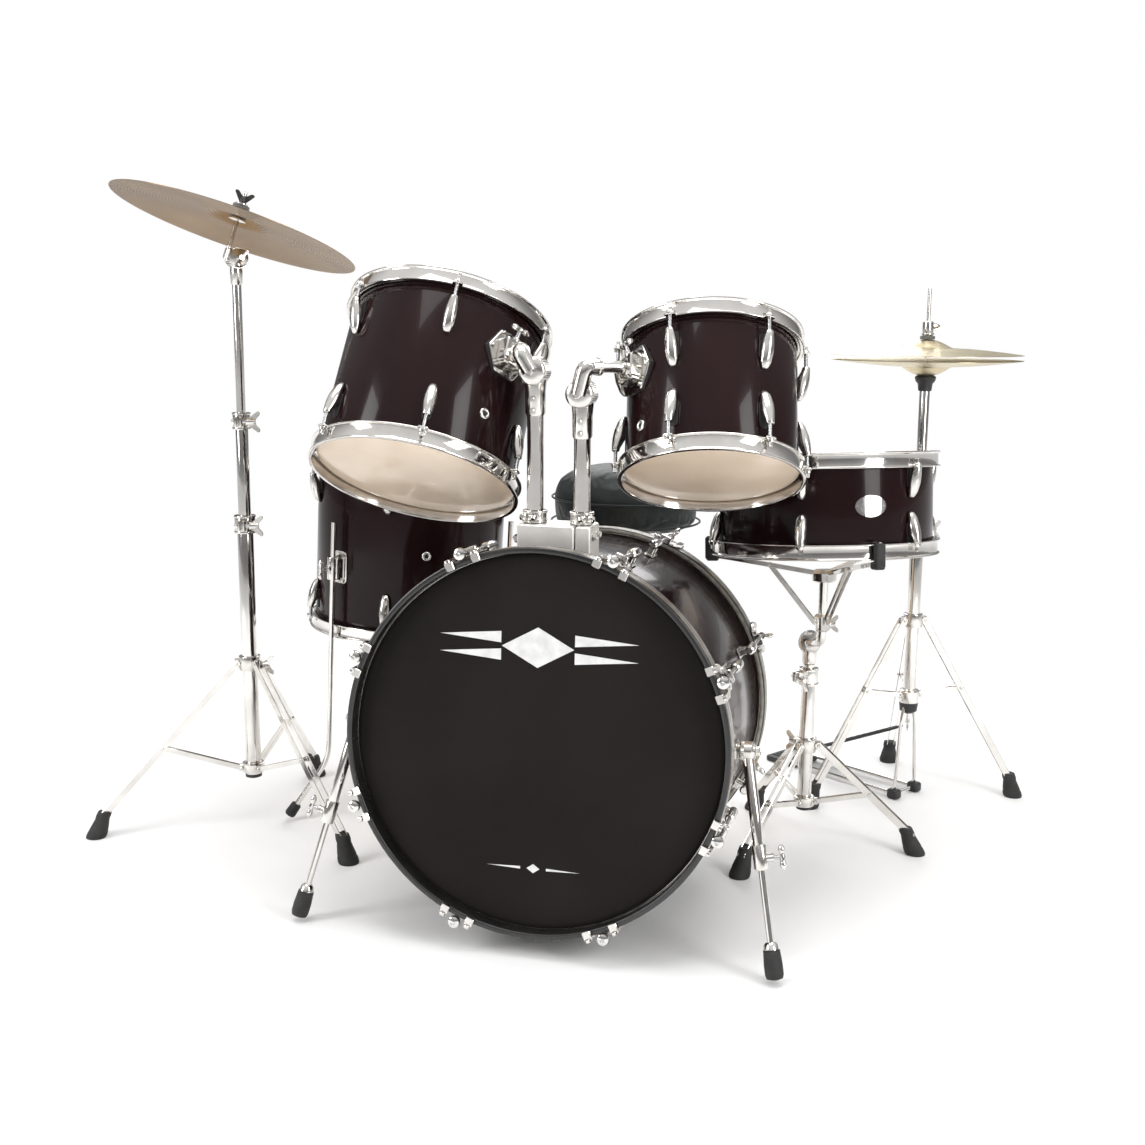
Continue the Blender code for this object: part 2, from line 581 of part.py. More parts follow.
def crash_centre():
    """Where the rod meets the plane of the cymbal's rim."""
    return crash_rod_foot() + CRASH_ROD_AXIS.normalized() * CRASH_ROD_RISE


def crash_tilter(pivot):
    """Rod with a washer under the cymbal and a nut above it."""
    along = CRASH_ROD_AXIS.normalized()
    knuckle = bar("crash_tilter", pivot, pivot + crash_hinge() * 0.0120, CRASH_KNUCKLE_RADIUS, "chrome", 16)
    centre = crash_centre()
    rod = bar("rod", crash_rod_foot() - along * 0.012, centre + along * CRASH_ROD_TOP, 0.0040)
    bell_top = CRASH_BELL_HEIGHT + CRASH_BOW
    washer = bar("washer", centre + along * (bell_top - 0.018), centre + along * (bell_top - 0.0045), 0.0150,
                 "rubber", 16)
    felt = bar("felt", centre + along * (bell_top + 0.0015), centre + along * (bell_top + 0.012), 0.0150,
               "rubber", 16)
    nut = bar("nut", centre + along * (bell_top + 0.011), centre + along * (bell_top + 0.027), 0.0090,
              "chrome", 8)
    return fuse(knuckle, [rod, washer, felt, nut])


# ---------------------------------------------------------------- hi-hat

def hihat_point(height, distance=0.0, angle=HIHAT_PEDAL_ANGLE):
    return HIHAT_BASE + radial(angle, distance, height)


def hihat_stand():
    outside, upper_outside = 0.0127, 0.0095
    base_top = HIHAT_BASE_TOP
    stand = tripod_base("hihat_base", HIHAT_BASE, HIHAT_TUBE_BOTTOM, base_top, HIHAT_LOW, HIHAT_COLLAR,
                        HIHAT_LEG_REACH, HIHAT_LEG_ANGLES, outside, HIHAT_BRACE_SHARE)
    housing = ring("housing", outside - TUBE_WALL - 0.004, outside + 0.006, HIHAT_HOUSING_LOW,
                   HIHAT_HOUSING_HIGH, "rubber", Matrix.Translation(HIHAT_BASE), TUBE_STEPS)
    clamp = clamp_collar(HIHAT_BASE, base_top, outside - 0.0010, outside + 0.0045)
    fuse(stand, [housing, clamp] + hihat_frame())
    seat = HIHAT_SEAT_HEIGHT
    upper = pipe("hihat_upper_tube", hihat_point(base_top - 0.150), hihat_point(seat - 0.020),
                 upper_outside - 0.0035, upper_outside)
    cup = ring("cup", upper_outside - 0.003, 0.0200, seat - 0.034, seat - 0.0105, "rubber",
               Matrix.Translation(HIHAT_BASE), TUBE_STEPS)
    fuse(upper, [cup])
    hihat_cymbals(seat)
    bar("hihat_pull_rod", hihat_point(HIHAT_ROD_BOTTOM), hihat_point(HIHAT_ROD_TOP), 0.0032, "chrome", 8)
    hihat_footboard()


def hihat_cymbals(seat):
    """Bottom cymbal upside down on the cup, top cymbal above it by the opening."""
    bow, bell = 0.012, 0.016
    outline = cymbal_outline(HIHAT_RADIUS, 0.048, bell, bow, 0.0014, 0.0145)
    rim = seat + bow + bell
    flip = Matrix.Translation(HIHAT_BASE + Vector((0, 0, rim - 0.010))) @ Matrix.Rotation(math.pi, 4, "X")
    turned("hihat_bottom_cymbal", outline, "brass", flip, CYMBAL_STEPS)
    outline = cymbal_outline(HIHAT_RADIUS, 0.048, bell, bow, 0.0014, 0.0048)
    place = Matrix.Translation(HIHAT_BASE + Vector((0, 0, rim - 0.010 + HIHAT_OPENING)))
    top = turned("hihat_top_cymbal", outline, "brass", place, CYMBAL_STEPS)
    sleeve = ring("clutch", 0.0042, 0.0100, seat + 0.040, seat + 0.086, "chrome",
                  Matrix.Translation(HIHAT_BASE), TUBE_STEPS)
    fuse(top, [sleeve])


def hihat_frame():
    """Two uprights from the spring housing and two floor rods to the heel plate."""
    side = radial(HIHAT_PEDAL_ANGLE + math.pi / 2.0, 1.0)
    parts = []
    for sign in (-1.0, 1.0):
        offset = side * sign * HIHAT_FRAME_HALF_WIDTH
        top = hihat_point(HIHAT_HOUSING_LOW + 0.020) + side * sign * 0.012
        toe = hihat_point(0.010) + offset
        heel = hihat_point(0.010, 0.262) + offset
        parts.append(bar("upright", top, toe, 0.0035, "chrome", 6))
        parts.append(bar("floor_rod", toe - (heel - toe).normalized() * 0.004, heel, 0.0035, "chrome", 6))
    toe_place = frame_matrix(hihat_point(0.0), (0, 0, 1), radial(HIHAT_PEDAL_ANGLE, 1.0))
    parts.append(block("toe_bar", (0.008, 0.074, 0.008), "chrome", toe_place, (0.0, 0.0, 0.010)))
    for sign in (-1.0, 1.0):
        centre = (0.0, sign * HIHAT_FRAME_HALF_WIDTH, 0.0095)
        parts.append(block("toe_rubber", (0.022, 0.020, 0.019), "rubber", toe_place, centre))
    parts.append(block("heel_plate", (0.080, 0.086, 0.012), "chrome", toe_place, (0.285, 0.0, 0.0062)))
    return parts


def hihat_footboard():
    """Foot plate hinged at the heel, under the pull rod's chain at the toe."""
    heel, toe = hihat_point(0.026, 0.262), hihat_point(HIHAT_TOE_HEIGHT, 0.022)
    place = frame_matrix(heel, radial(HIHAT_PEDAL_ANGLE + math.pi / 2.0, 1.0), toe - heel)
    length = (toe - heel).length
    board = block("hihat_footboard", (length, 0.006, 0.072), "rubber", place, (length / 2.0, 0.0, 0.0))
    knuckle = bar("knuckle", heel - place.to_3x3() @ Vector((0, 0, 0.036)),
                  heel + place.to_3x3() @ Vector((0, 0, 0.036)), 0.0055, "chrome", 12)
    fuse(board, [knuckle])


# ---------------------------------------------------------------- snare

def snare_drum():
    place = drum_place(SNARE_CENTRE, SNARE_AXIS)
    steel_hooped_drum("snare", SNARE_RADIUS, SNARE_DEPTH, place)
    snare_lever(place)


def snare_lever(place):
    """Throw-off lever that tightens the wires under the drum."""
    turn = place @ Matrix.Rotation(THROW_ANGLE, 4, "Z") @ Matrix.Translation(THROW_PIN)
    lever = block("snare_throw_lever", THROW_SIZE, "chrome", turn, THROW_OFFSET)
    half = Vector((0.0, THROW_PIN_HALF, 0.0))
    pin = bar("pin", turn @ -half, turn @ half, THROW_PIN_RADIUS, "chrome", 12)
    fuse(lever, [pin])


def snare_stand():
    outside = 0.0127
    top = SNARE_TILTER.z - 0.045
    stand = tripod_base("snare_base", SNARE_BASE, 0.070, top, 0.085, 0.190, SNARE_LEG_REACH,
                        SNARE_LEG_ANGLES, outside)
    fuse(stand, [clamp_collar(SNARE_BASE, top, outside - 0.0010, outside + 0.0045)])
    half = 0.0110
    inner = bar("snare_upper_tube", SNARE_BASE + Vector((0, 0, 0.110)), SNARE_TILTER, 0.0100,
                "chrome", TUBE_STEPS)
    rear = bar("rear_ratchet", SNARE_TILTER + Vector((0, half, 0)), SNARE_TILTER - Vector((0, half, 0)),
               0.020, "chrome", 16)
    fuse(inner, [rear])
    snare_basket(SNARE_TILTER - Vector((0, half + GAP, 0)))


def snare_basket(pivot):
    """Ratchet half, stem and three arms that grip the bottom hoop."""
    basket = bar("snare_basket", pivot, pivot - Vector((0, 0.013, 0)), 0.020, "chrome", 16)
    up = Vector(SNARE_AXIS).normalized()
    hub = Vector(SNARE_CENTRE) - up * 0.125
    crook = Vector((hub.x, hub.y, pivot.z + 0.020))
    start = pivot - Vector((0, 0.0065, 0))
    parts = [bent_bar("stem", [start, crook, hub], 0.0080)]
    place = drum_place(hub, up)
    parts.append(disc("hub", 0.021, -0.010, 0.012, "chrome", place, 16))
    rim = SNARE_RADIUS + HOOP_OUTSIDE + 0.0040
    for angle in BASKET_ANGLES:
        inner = place @ radial(angle, 0.012, 0.004)
        elbow = place @ radial(angle, rim - 0.035, 0.028)
        outer = place @ radial(angle, rim + 0.004, 0.034)
        tip = place @ radial(angle, rim + 0.004, 0.064)
        parts.append(bent_bar("basket_arm", [inner, elbow, outer, tip], 0.0038))
    return fuse(basket, parts)


# ---------------------------------------------------------------- throne and bass pedal

def throne():
    outside = 0.0159
    top = 0.385
    stand = tripod_base("throne_base", THRONE_BASE, 0.085, top, 0.110, 0.330, THRONE_LEG_REACH,
                        THRONE_LEG_ANGLES, outside)
    fuse(stand, [clamp_collar(THRONE_BASE, top, outside - 0.0010, outside + 0.0045)])
    under = THRONE_SEAT_HEIGHT - THRONE_SEAT_THICKNESS
    foot, head = THRONE_BASE + Vector((0, 0, 0.200)), THRONE_BASE + Vector((0, 0, under - 0.004))
    post = bar("throne_post", foot, head, 0.0127, "chrome", TUBE_STEPS)
    plate = disc("plate", 0.060, under - 0.006, under - GAP, "chrome", Matrix.Translation(THRONE_BASE), 16)
    socket = disc("socket", 0.0185, under - 0.050, under - 0.004, "chrome",
                  Matrix.Translation(THRONE_BASE), 16)
    fuse(post, [plate, socket])
    radius = THRONE_SEAT_RADIUS
    thick = THRONE_SEAT_THICKNESS
    outline = [(0.0, under), (radius - 0.012, under), (radius, under + 0.014),
               (radius, under + thick * 0.62), (radius - 0.014, under + thick * 0.86),
               (radius - 0.060, under + thick), (0.0, under + thick)]
    turned("throne_seat", outline, "vinyl", Matrix.Translation(THRONE_BASE), 36)


def bass_pedal():
    pedal_frame()
    pedal_footboard()
    pedal_beater()


def pedal_frame():
    """Base plate with two uprights that carry the axle, clamped at the rear hoop."""
    back, front = PEDAL_HEEL.y + 0.030, PEDAL_AXLE.y - 0.035
    frame = block("pedal_frame", (0.090, back - front, 0.006), "chrome", None,
                  (0.0, (front + back) / 2.0, 0.0032))
    parts = []
    for sign in (-1.0, 1.0):
        height = PEDAL_AXLE.z + 0.014
        parts.append(block("upright", (0.010, 0.026, height - 0.004), "chrome", None,
                           (sign * 0.050, PEDAL_AXLE.y, 0.004 + (height - 0.004) / 2.0)))
        parts.append(block("foot", (0.022, 0.030, 0.008), "chrome", None,
                           (sign * 0.046, PEDAL_AXLE.y, 0.0044)))
        parts.append(block("heel_lug", (0.008, 0.020, 0.036), "chrome", None,
                           (sign * 0.0415, PEDAL_HEEL.y, 0.022)))
    fuse(frame, parts)
    bores = [bar("axle_bore", PEDAL_AXLE - Vector((0.08, 0, 0)), PEDAL_AXLE + Vector((0.08, 0, 0)), 0.0056,
                 "chrome", 12)]
    cut(frame, bores)


def pedal_footboard():
    toe = Vector((0.0, PEDAL_AXLE.y + 0.034, 0.096))
    heel = PEDAL_HEEL
    place = frame_matrix(heel, (1, 0, 0), toe - heel)
    length = (toe - heel).length
    board = block("pedal_footboard", (length, 0.006, 0.068), "chrome", place, (length / 2.0, 0.0, 0.0))
    half = Vector((0.037, 0, 0))
    knuckle = bar("knuckle", heel - half, heel + half, 0.0055, "chrome", 12)
    fuse(board, [knuckle])


def pedal_beater():
    """Axle with the rod and the felt beater that strikes the batter head."""
    half = Vector((0.060, 0, 0))
    axle = bar("pedal_beater", PEDAL_AXLE - half, PEDAL_AXLE + half, 0.0052, "chrome", 12)
    along = Vector((0.0, math.sin(BEATER_LEAN), math.cos(BEATER_LEAN)))
    tip = PEDAL_AXLE + along * BEATER_LENGTH
    cross = Vector((0.0, math.cos(BEATER_LEAN), -math.sin(BEATER_LEAN)))
    rod = bar("rod", PEDAL_AXLE, tip, 0.0045, "chrome", 8)
    felt = bar("felt", tip - cross * 0.024, tip + cross * 0.024, 0.0230, "rubber", 16)
    cam = bar("cam", PEDAL_AXLE - half / 6.0, PEDAL_AXLE + half / 6.0, 0.0170, "chrome", 16)
    fuse(axle, [cam, rod, felt])


def shift_to_origin():
    """Hang every piece on one empty, which sets the kit over its origin."""
    kit = bpy.data.objects.new("kit", None)
    bpy.context.scene.collection.objects.link(kit)
    bpy.context.view_layer.update()
    for item in list(bpy.data.objects):
        if item is not kit:
            item.parent = kit
    kit.location = KIT_SHIFT


def build():
    clear_scene()
    bass_drum()
    tom_mount()
    rack_toms()
    spur(0)
    spur(1)
    floor_tom()
    crash_stand()
    hihat_stand()
    snare_drum()
    snare_stand()
    throne()
    bass_pedal()
    shift_to_origin()


build()
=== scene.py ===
"""Looks of a five-drum acoustic kit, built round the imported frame. Metres, +Z up, audience on the -Y side."""

import json
import math

import bmesh
import bpy
from mathutils import Matrix, Vector

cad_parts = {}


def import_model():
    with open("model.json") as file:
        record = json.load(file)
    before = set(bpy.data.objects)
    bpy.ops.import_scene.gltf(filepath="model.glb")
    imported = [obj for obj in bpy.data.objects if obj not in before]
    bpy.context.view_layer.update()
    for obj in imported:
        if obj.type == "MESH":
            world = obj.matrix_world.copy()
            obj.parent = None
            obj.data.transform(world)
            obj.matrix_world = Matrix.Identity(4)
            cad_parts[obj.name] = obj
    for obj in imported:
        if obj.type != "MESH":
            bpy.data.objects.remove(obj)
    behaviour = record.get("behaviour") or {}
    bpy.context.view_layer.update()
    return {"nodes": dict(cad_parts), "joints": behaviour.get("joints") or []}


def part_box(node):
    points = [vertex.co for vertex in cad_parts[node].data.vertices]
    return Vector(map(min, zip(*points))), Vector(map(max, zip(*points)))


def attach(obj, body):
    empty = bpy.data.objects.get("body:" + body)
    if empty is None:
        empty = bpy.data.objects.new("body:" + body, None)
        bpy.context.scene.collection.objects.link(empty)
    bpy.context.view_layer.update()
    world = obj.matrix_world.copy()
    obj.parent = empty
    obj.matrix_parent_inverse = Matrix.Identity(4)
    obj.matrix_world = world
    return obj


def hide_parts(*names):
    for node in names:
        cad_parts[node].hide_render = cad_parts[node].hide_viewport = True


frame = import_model()
JOINTS = {joint["name"]: joint for joint in frame["joints"]}
TURN = 2.0 * math.pi
UP = Vector((0.0, 0.0, 1.0))
TO_AUDIENCE = Vector((0.0, -1.0, 0.0))

# Drum details, in each drum's own frame
SHELL_WALL = 0.007
HEAD_OVERHANG = 0.004
LUG_INSET = {"left_tom": 0.056, "right_tom": 0.056, "floor_tom": 0.050, "snare": 0.030}
LUG_PHASE = {"left_tom": 52.0, "right_tom": 12.5, "floor_tom": 37.0, "snare": 23.0}
LUG_COUNT = 6
VENTS = {"left_tom": (324.0, -0.058), "right_tom": (225.0, -0.057), "floor_tom": (300.0, 0.0),
         "snare": (120.0, 0.0)}
BASS_LUG_PHASE, BASS_LUG_HEIGHT = 22.5, 0.085
BASS_CLAW_SPREAD = 0.021
SPUR_LENGTH = 0.172
FLOOR_LEG_ANGLES = (245.0, 5.0, 125.0)
FLOOR_FOOT_ANGLES = (199.0, 5.0, 125.0)
BADGE_ANGLE, THROW_ANGLE = 298.0, 95.0
BADGE_PIN_ARC = 0.0215

# Badge's two ovals: half width, half height, rise from the shell and thickness
BADGE_OVALS = ((0.0260, 0.0170, 0.0, 0.0018), (0.0170, 0.0105, 0.0017, 0.0012))

BASKET_ANGLES = (-60.0, 60.0, 180.0)

# Outer radii of the stands' tubes and rods
CRASH_TUBES = (0.0143, 0.0111, 0.0079)
STAND_TUBE, THRONE_TUBE = 0.0127, 0.0159
TOM_POST_RADIUS, ARM_RADIUS, ARM_ROD_RADIUS, RATCHET_RADIUS = 0.0125, 0.0125, 0.0093, 0.021
SPUR_TUBE_RADIUS, SPUR_ROD_RADIUS, FLOOR_LEG_RADIUS = 0.0085, 0.0050, 0.0050
CLAW_COUNT = 8

# Tripods: leg directions, reach, and the share of a leg where its brace meets it
CRASH_BELL = {"radius": 0.2159, "bell_radius": 0.055, "bell_height": 0.017, "bow": 0.016, "thickness": 0.0015,
              "hole": 0.0057}
CRASH_TRIPOD = {"legs": (211.0, 331.0, 91.0), "reach": 0.285, "low": 0.110, "collar": 0.310, "share": 0.55}
HIHAT_TRIPOD = {"legs": (13.5, 100.0, 215.0), "reach": 0.2182, "low": 0.210, "collar": 0.360, "share": 0.42}
SNARE_TRIPOD = {"legs": (3.0, 123.0, 243.0), "reach": 0.200, "low": 0.085, "collar": 0.190, "share": 0.55}
THRONE_TRIPOD = {"legs": (0.0, 120.0, 240.0), "reach": 0.250, "low": 0.110, "collar": 0.330, "share": 0.55}
HIHAT_PEDAL_ANGLE = 146.0
ELBOW_SHARES = {"left": 0.65, "right": 0.20}
CLAMP_ANGLE = -76.0

# Reflected sky, from straight down to straight up: share of the way, and brightness
SKY_TONES = ((0.0, 0.42), (0.46, 0.40), (0.53, 0.22), (0.62, 0.34), (0.80, 0.85), (1.0, 1.0))


# ---------------------------------------------------------------- frames

def frame_matrix(origin, axis, toward=(1.0, 0.0, 0.0)):
    """A frame at origin whose Z runs along axis and whose X leans towards a given direction."""
    z = Vector(axis).normalized()
    guide = Vector(toward).normalized()
    if abs(guide.dot(z)) > 0.99:
        guide = Vector((0.0, 1.0, 0.0))
    x = (guide - guide.dot(z) * z).normalized()
    rotation = Matrix((x, z.cross(x), z)).transposed().to_4x4()
    return Matrix.Translation(Vector(origin)) @ rotation


def polar(degrees, radius, height=0.0):
    angle = math.radians(degrees)
    return Vector((radius * math.cos(angle), radius * math.sin(angle), height))


def move(x=0.0, y=0.0, z=0.0):
    return Matrix.Translation((x, y, z))


def spin(degrees, axis="Z"):
    return Matrix.Rotation(math.radians(degrees), 4, axis)


def joint_point(name):
    return Vector(JOINTS[name]["pos_m"])


def joint_axis(name):
    return Vector(JOINTS[name]["axis"]).normalized()


def middle(node):
    low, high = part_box(node)
    return (low + high) / 2.0


class Drum:
    """A drum's frame and size, read from its two heads."""

    def __init__(self, name, upper, lower, overhang=HEAD_OVERHANG):
        self.name = name
        top, bottom = middle(upper), middle(lower)
        self.axis = (top - bottom).normalized()
        self.place = frame_matrix((top + bottom) / 2.0, self.axis)
        local = self.place.inverted()
        spread = [local @ v.co for v in frame["nodes"][upper].data.vertices]
        self.radius = max(p.xy.length for p in spread) - overhang
        self.half = min(p.z for p in spread) - 0.0003


# ---------------------------------------------------------------- outlines

def fillet(points, radius, steps=3, closed=False):
    """Round the corners of a line of points, in two or three dimensions."""
    points = [Vector(p) for p in points]
    count = len(points)
    rounded = []
    for i, corner in enumerate(points):
        if not closed and i in (0, count - 1):
            rounded.append(corner)
            continue
        before = points[i - 1] - corner
        after = points[(i + 1) % count] - corner
        reach = min(radius, before.length * 0.48, after.length * 0.48)
        start, end = corner + before.normalized() * reach, corner + after.normalized() * reach
        for s in range(steps + 1):
            t = s / steps
            rounded.append(start * (1 - t) ** 2 + corner * 2 * t * (1 - t) + end * t ** 2)
    return rounded


def rectangle(width, height, corner=0.0015, steps=3):
    x, y = width / 2.0, height / 2.0
    return fillet([(-x, -y), (x, -y), (x, y), (-x, y)], corner, steps, True)


def regular(sides, radius, turn=0.0):
    return [Vector((radius * math.cos(TURN * i / sides + turn), radius * math.sin(TURN * i / sides + turn)))
            for i in range(sides)]


def inset(outline, distance):
    """Move each side of an anticlockwise outline inwards."""
    moved = []
    for i, point in enumerate(outline):
        before = (point - outline[i - 1]).normalized()
        after = (outline[(i + 1) % len(outline)] - point).normalized()
        inward = Vector((-before.y - after.y, before.x + after.x))
        length = max(inward.length, 0.3)
        moved.append(point + inward.normalized() * (2.0 * distance / length) if inward.length > 1e-9 else point)
    return moved


# ---------------------------------------------------------------- solids

class Shape:
    """Gathers solids into one mesh; each solid keeps its own material."""

    def __init__(self):
        self.mesh = bmesh.new()
        self.materials = []

    def add(self, points, faces, material, place=Matrix()):
        if material not in self.materials:
            self.materials.append(material)
        index = self.materials.index(material)
        verts = [self.mesh.verts.new(place @ Vector(p)) for p in points]
        for corners in faces:
            made = self.mesh.faces.new([verts[i] for i in corners])
            made.material_index = index

    def loft(self, rings, material, place=Matrix(), closed=False):
        """Skin a row of rings with the same number of points, capped unless it closes on itself."""
        count = len(rings[0])
        points = [p for ring in rings for p in ring]
        rows = len(rings)
        faces = []
        for row in range(rows if closed else rows - 1):
            low, high = row * count, (row + 1) % rows * count
            for s in range(count):
                t = (s + 1) % count
                faces.append((low + s, low + t, high + t, high + s))
        if not closed:
            faces.append(tuple(reversed(range(count))))
            faces.append(tuple(range((rows - 1) * count, rows * count)))
        self.add(points, faces, material, place)

    def turn(self, outline, material, place=Matrix(), steps=48, hollow=False):
        """Spin an outline of (radius, height) points about Z; a hollow one closes on itself."""
        rings = [[(r * math.cos(TURN * s / steps), r * math.sin(TURN * s / steps), z) for s in range(steps)]
                 for r, z in outline]
        self.loft(rings, material, place, closed=hollow)

    def rod(self, start, end, radius, material, steps=24, edge=0.0006):
        """A straight round bar with softened ends."""
        start, end = Vector(start), Vector(end)
        length = (end - start).length
        edge = min(edge, radius * 0.4, length * 0.3)
        outline = [(radius - edge, 0.0), (radius, edge), (radius, length - edge), (radius - edge, length)]
        self.turn(outline, material, frame_matrix(start, end - start), steps)

    def ring(self, inside, outside, low, high, material, place=Matrix(), steps=48, edge=0.0006):
        outline = fillet([(inside, low), (outside, low), (outside, high), (inside, high)], edge, 2, True)
        self.turn(outline, material, place, steps, hollow=True)

    def tube(self, points, radius, material, steps=16):
        """Sweep a round bar along a line of points; radius may differ at each point."""
        points = [Vector(p) for p in points]
        radii = radius if isinstance(radius, (list, tuple)) else [radius] * len(points)
        side = None
        rings = []
        for i, point in enumerate(points):
            ahead = points[min(i + 1, len(points) - 1)] - points[max(i - 1, 0)]
            along = ahead.normalized()
            if side is None:
                side = along.orthogonal().normalized()
            side = (side - side.dot(along) * along).normalized()
            other = along.cross(side)
            rings.append([point + (side * math.cos(TURN * s / steps) + other * math.sin(TURN * s / steps)) * radii[i]
                          for s in range(steps)])
        self.loft(rings, material)

    def slab(self, outline, depth, material, place=Matrix(), edge=0.0008):
        """Extrude an anticlockwise outline from z = 0 to depth, with softened rims."""
        outline = [Vector(p) for p in outline]
        edge = min(edge, depth * 0.3)
        small = inset(outline, edge)
        rows = [(small, 0.0), (outline, edge), (outline, depth - edge), (small, depth)]
        self.loft([[(p.x, p.y, z) for p in row] for row, z in rows], material, place)

    def box(self, size, material, place=Matrix(), corner=0.0015, edge=0.0008):
        """A softened box, centred on its frame."""
        self.slab(rectangle(size[0], size[1], corner), size[2], material, place @ move(z=-size[2] / 2.0),
                  edge)

    def strip(self, start, end, width, thickness, flat, material):
        """A flat bar with round ends; flat is the direction of its thickness."""
        start, end = Vector(start), Vector(end)
        length = (end - start).length
        place = frame_matrix(start, flat, end - start)
        outline = fillet([(-width / 2, -width / 2), (length + width / 2, -width / 2),
                          (length + width / 2, width / 2), (-width / 2, width / 2)], width * 0.48, 5, True)
        self.slab(outline, thickness, material, place @ move(z=-thickness / 2.0), 0.0005)


def piece(name, body, shape, place=None, stands_for=(), sharp=38.0):
    """Turn a shape into an object that rides on a body; place sets its own coordinates."""
    bmesh.ops.recalc_face_normals(shape.mesh, faces=shape.mesh.faces)
    place = place or Matrix()
    mesh = bpy.data.meshes.new(name)
    shape.mesh.transform(place.inverted())
    shape.mesh.to_mesh(mesh)
    shape.mesh.free()
    for material in shape.materials:
        mesh.materials.append(material)
    mesh.shade_smooth()
    mesh.set_sharp_from_angle(angle=math.radians(sharp))
    item = bpy.data.objects.new(name, mesh)
    bpy.context.scene.collection.objects.link(item)
    item.matrix_world = place
    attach(item, body)
    if stands_for:
        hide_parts(*stands_for)
    return item


def detail(node, body, shape, place=None, sharp=38.0):
    """A piece that stands for one CAD node."""
    return piece(node + "_detail", body, shape, place, (node,), sharp)


# ---------------------------------------------------------------- materials

def plain(name, colour, roughness, metallic=0.0, coat=0.0, gloss=0.5):
    made = bpy.data.materials.new(name)
    made.use_nodes = True
    shader = made.node_tree.nodes["Principled BSDF"]
    shader.inputs["Base Color"].default_value = (*colour, 1.0)
    shader.inputs["Roughness"].default_value = roughness
    shader.inputs["Metallic"].default_value = metallic
    shader.inputs["Coat Weight"].default_value = coat
    shader.inputs["Specular IOR Level"].default_value = gloss
    made.diffuse_color = (*colour, 1.0)
    return made


def pattern(made, kind, scale, stretch=(1.0, 1.0, 1.0), detail_level=3.0, turn=(0.0, 0.0, 0.0)):
    """A texture in the object's own coordinates, turned if asked; returns its grey output."""
    nodes, links = made.node_tree.nodes, made.node_tree.links
    where = nodes.new("ShaderNodeTexCoord")
    mapping = nodes.new("ShaderNodeMapping")
    mapping.inputs["Scale"].default_value = stretch
    mapping.inputs["Rotation"].default_value = turn
    links.new(where.outputs["Object"], mapping.inputs["Vector"])
    if kind == "rings":
        texture = nodes.new("ShaderNodeTexWave")
        texture.wave_type = "RINGS"
        texture.rings_direction = "Z"
        texture.inputs["Distortion"].default_value = 0.6
        texture.inputs["Detail"].default_value = detail_level
        output = "Fac"
    elif kind == "cells":
        texture = nodes.new("ShaderNodeTexVoronoi")
        output = "Distance"
    else:
        texture = nodes.new("ShaderNodeTexNoise")
        texture.inputs["Detail"].default_value = detail_level
        output = "Fac"
    texture.inputs["Scale"].default_value = scale
    links.new(mapping.outputs["Vector"], texture.inputs["Vector"])
    return texture.outputs[output]


def tint(made, source, dark, light, low=0.3, high=0.7):
    """Colour that drifts between two tones."""
    nodes, links = made.node_tree.nodes, made.node_tree.links
    ramp = nodes.new("ShaderNodeValToRGB")
    ramp.color_ramp.elements[0].position = low
    ramp.color_ramp.elements[0].color = (*dark, 1.0)
    ramp.color_ramp.elements[1].position = high
    ramp.color_ramp.elements[1].color = (*light, 1.0)
    links.new(source, ramp.inputs["Fac"])
    links.new(ramp.outputs["Color"], nodes["Principled BSDF"].inputs["Base Color"])


def wear(made, source, low, high):
    """Roughness that drifts between two values."""
    nodes, links = made.node_tree.nodes, made.node_tree.links
    span = nodes.new("ShaderNodeMapRange")
    span.inputs["To Min"].default_value = low
    span.inputs["To Max"].default_value = high
    links.new(source, span.inputs["Value"])
    links.new(span.outputs["Result"], nodes["Principled BSDF"].inputs["Roughness"])


def relief(made, source, depth, strength=1.0):
    """Fine bumps of a given depth in metres."""
    nodes, links = made.node_tree.nodes, made.node_tree.links
    bump = nodes.new("ShaderNodeBump")
    bump.inputs["Strength"].default_value = strength
    bump.inputs["Distance"].default_value = depth
    links.new(source, bump.inputs["Height"])
    links.new(bump.outputs["Normal"], nodes["Principled BSDF"].inputs["Normal"])


def noise(scale, detail_level=3.0, stretch=(1.0, 1.0, 1.0), kind="noise"):
    """Settings of one pattern."""
    return {"kind": kind, "scale": scale, "stretch": stretch, "detail_level": detail_level}


def finish(name, colour, roughness, tone, worn, bumps=None, metallic=0.0, coat=0.0, gloss=0.5):
    """A material with its own drift of colour (tone), of roughness (worn) and, if given, its relief (bumps)."""
    made = plain(name, colour, roughness, metallic, coat, gloss)
    settings, dark, light = tone
    tint(made, pattern(made, **settings), dark, light)
    settings, low, high = worn
    wear(made, pattern(made, **settings), low, high)
    if bumps:
        settings, depth, strength = bumps
        relief(made, pattern(made, **settings), depth, strength)
    return made


def cymbal_metal(name, dark, light, turn=(0.0, 0.0, 0.0)):
    """Turned bronze: fine lathe rings, hammered hollows and uneven tarnish."""
    made = plain(name, light, 0.3, 1.0)
    nodes, links = made.node_tree.nodes, made.node_tree.links
    tint(made, pattern(made, "noise", 7.0, detail_level=6.0), dark, light, 0.25, 0.75)
    wear(made, pattern(made, "rings", 60.0, detail_level=2.0, turn=turn), 0.24, 0.40)
    grooves = pattern(made, "rings", 160.0, detail_level=1.0, turn=turn)
    hammered = pattern(made, "cells", 34.0)
    total = nodes.new("ShaderNodeMath")
    total.operation = "ADD"
    links.new(grooves, total.inputs[0])
    links.new(hammered, total.inputs[1])
    relief(made, total.outputs["Value"], 0.00022, 0.55)
    return made


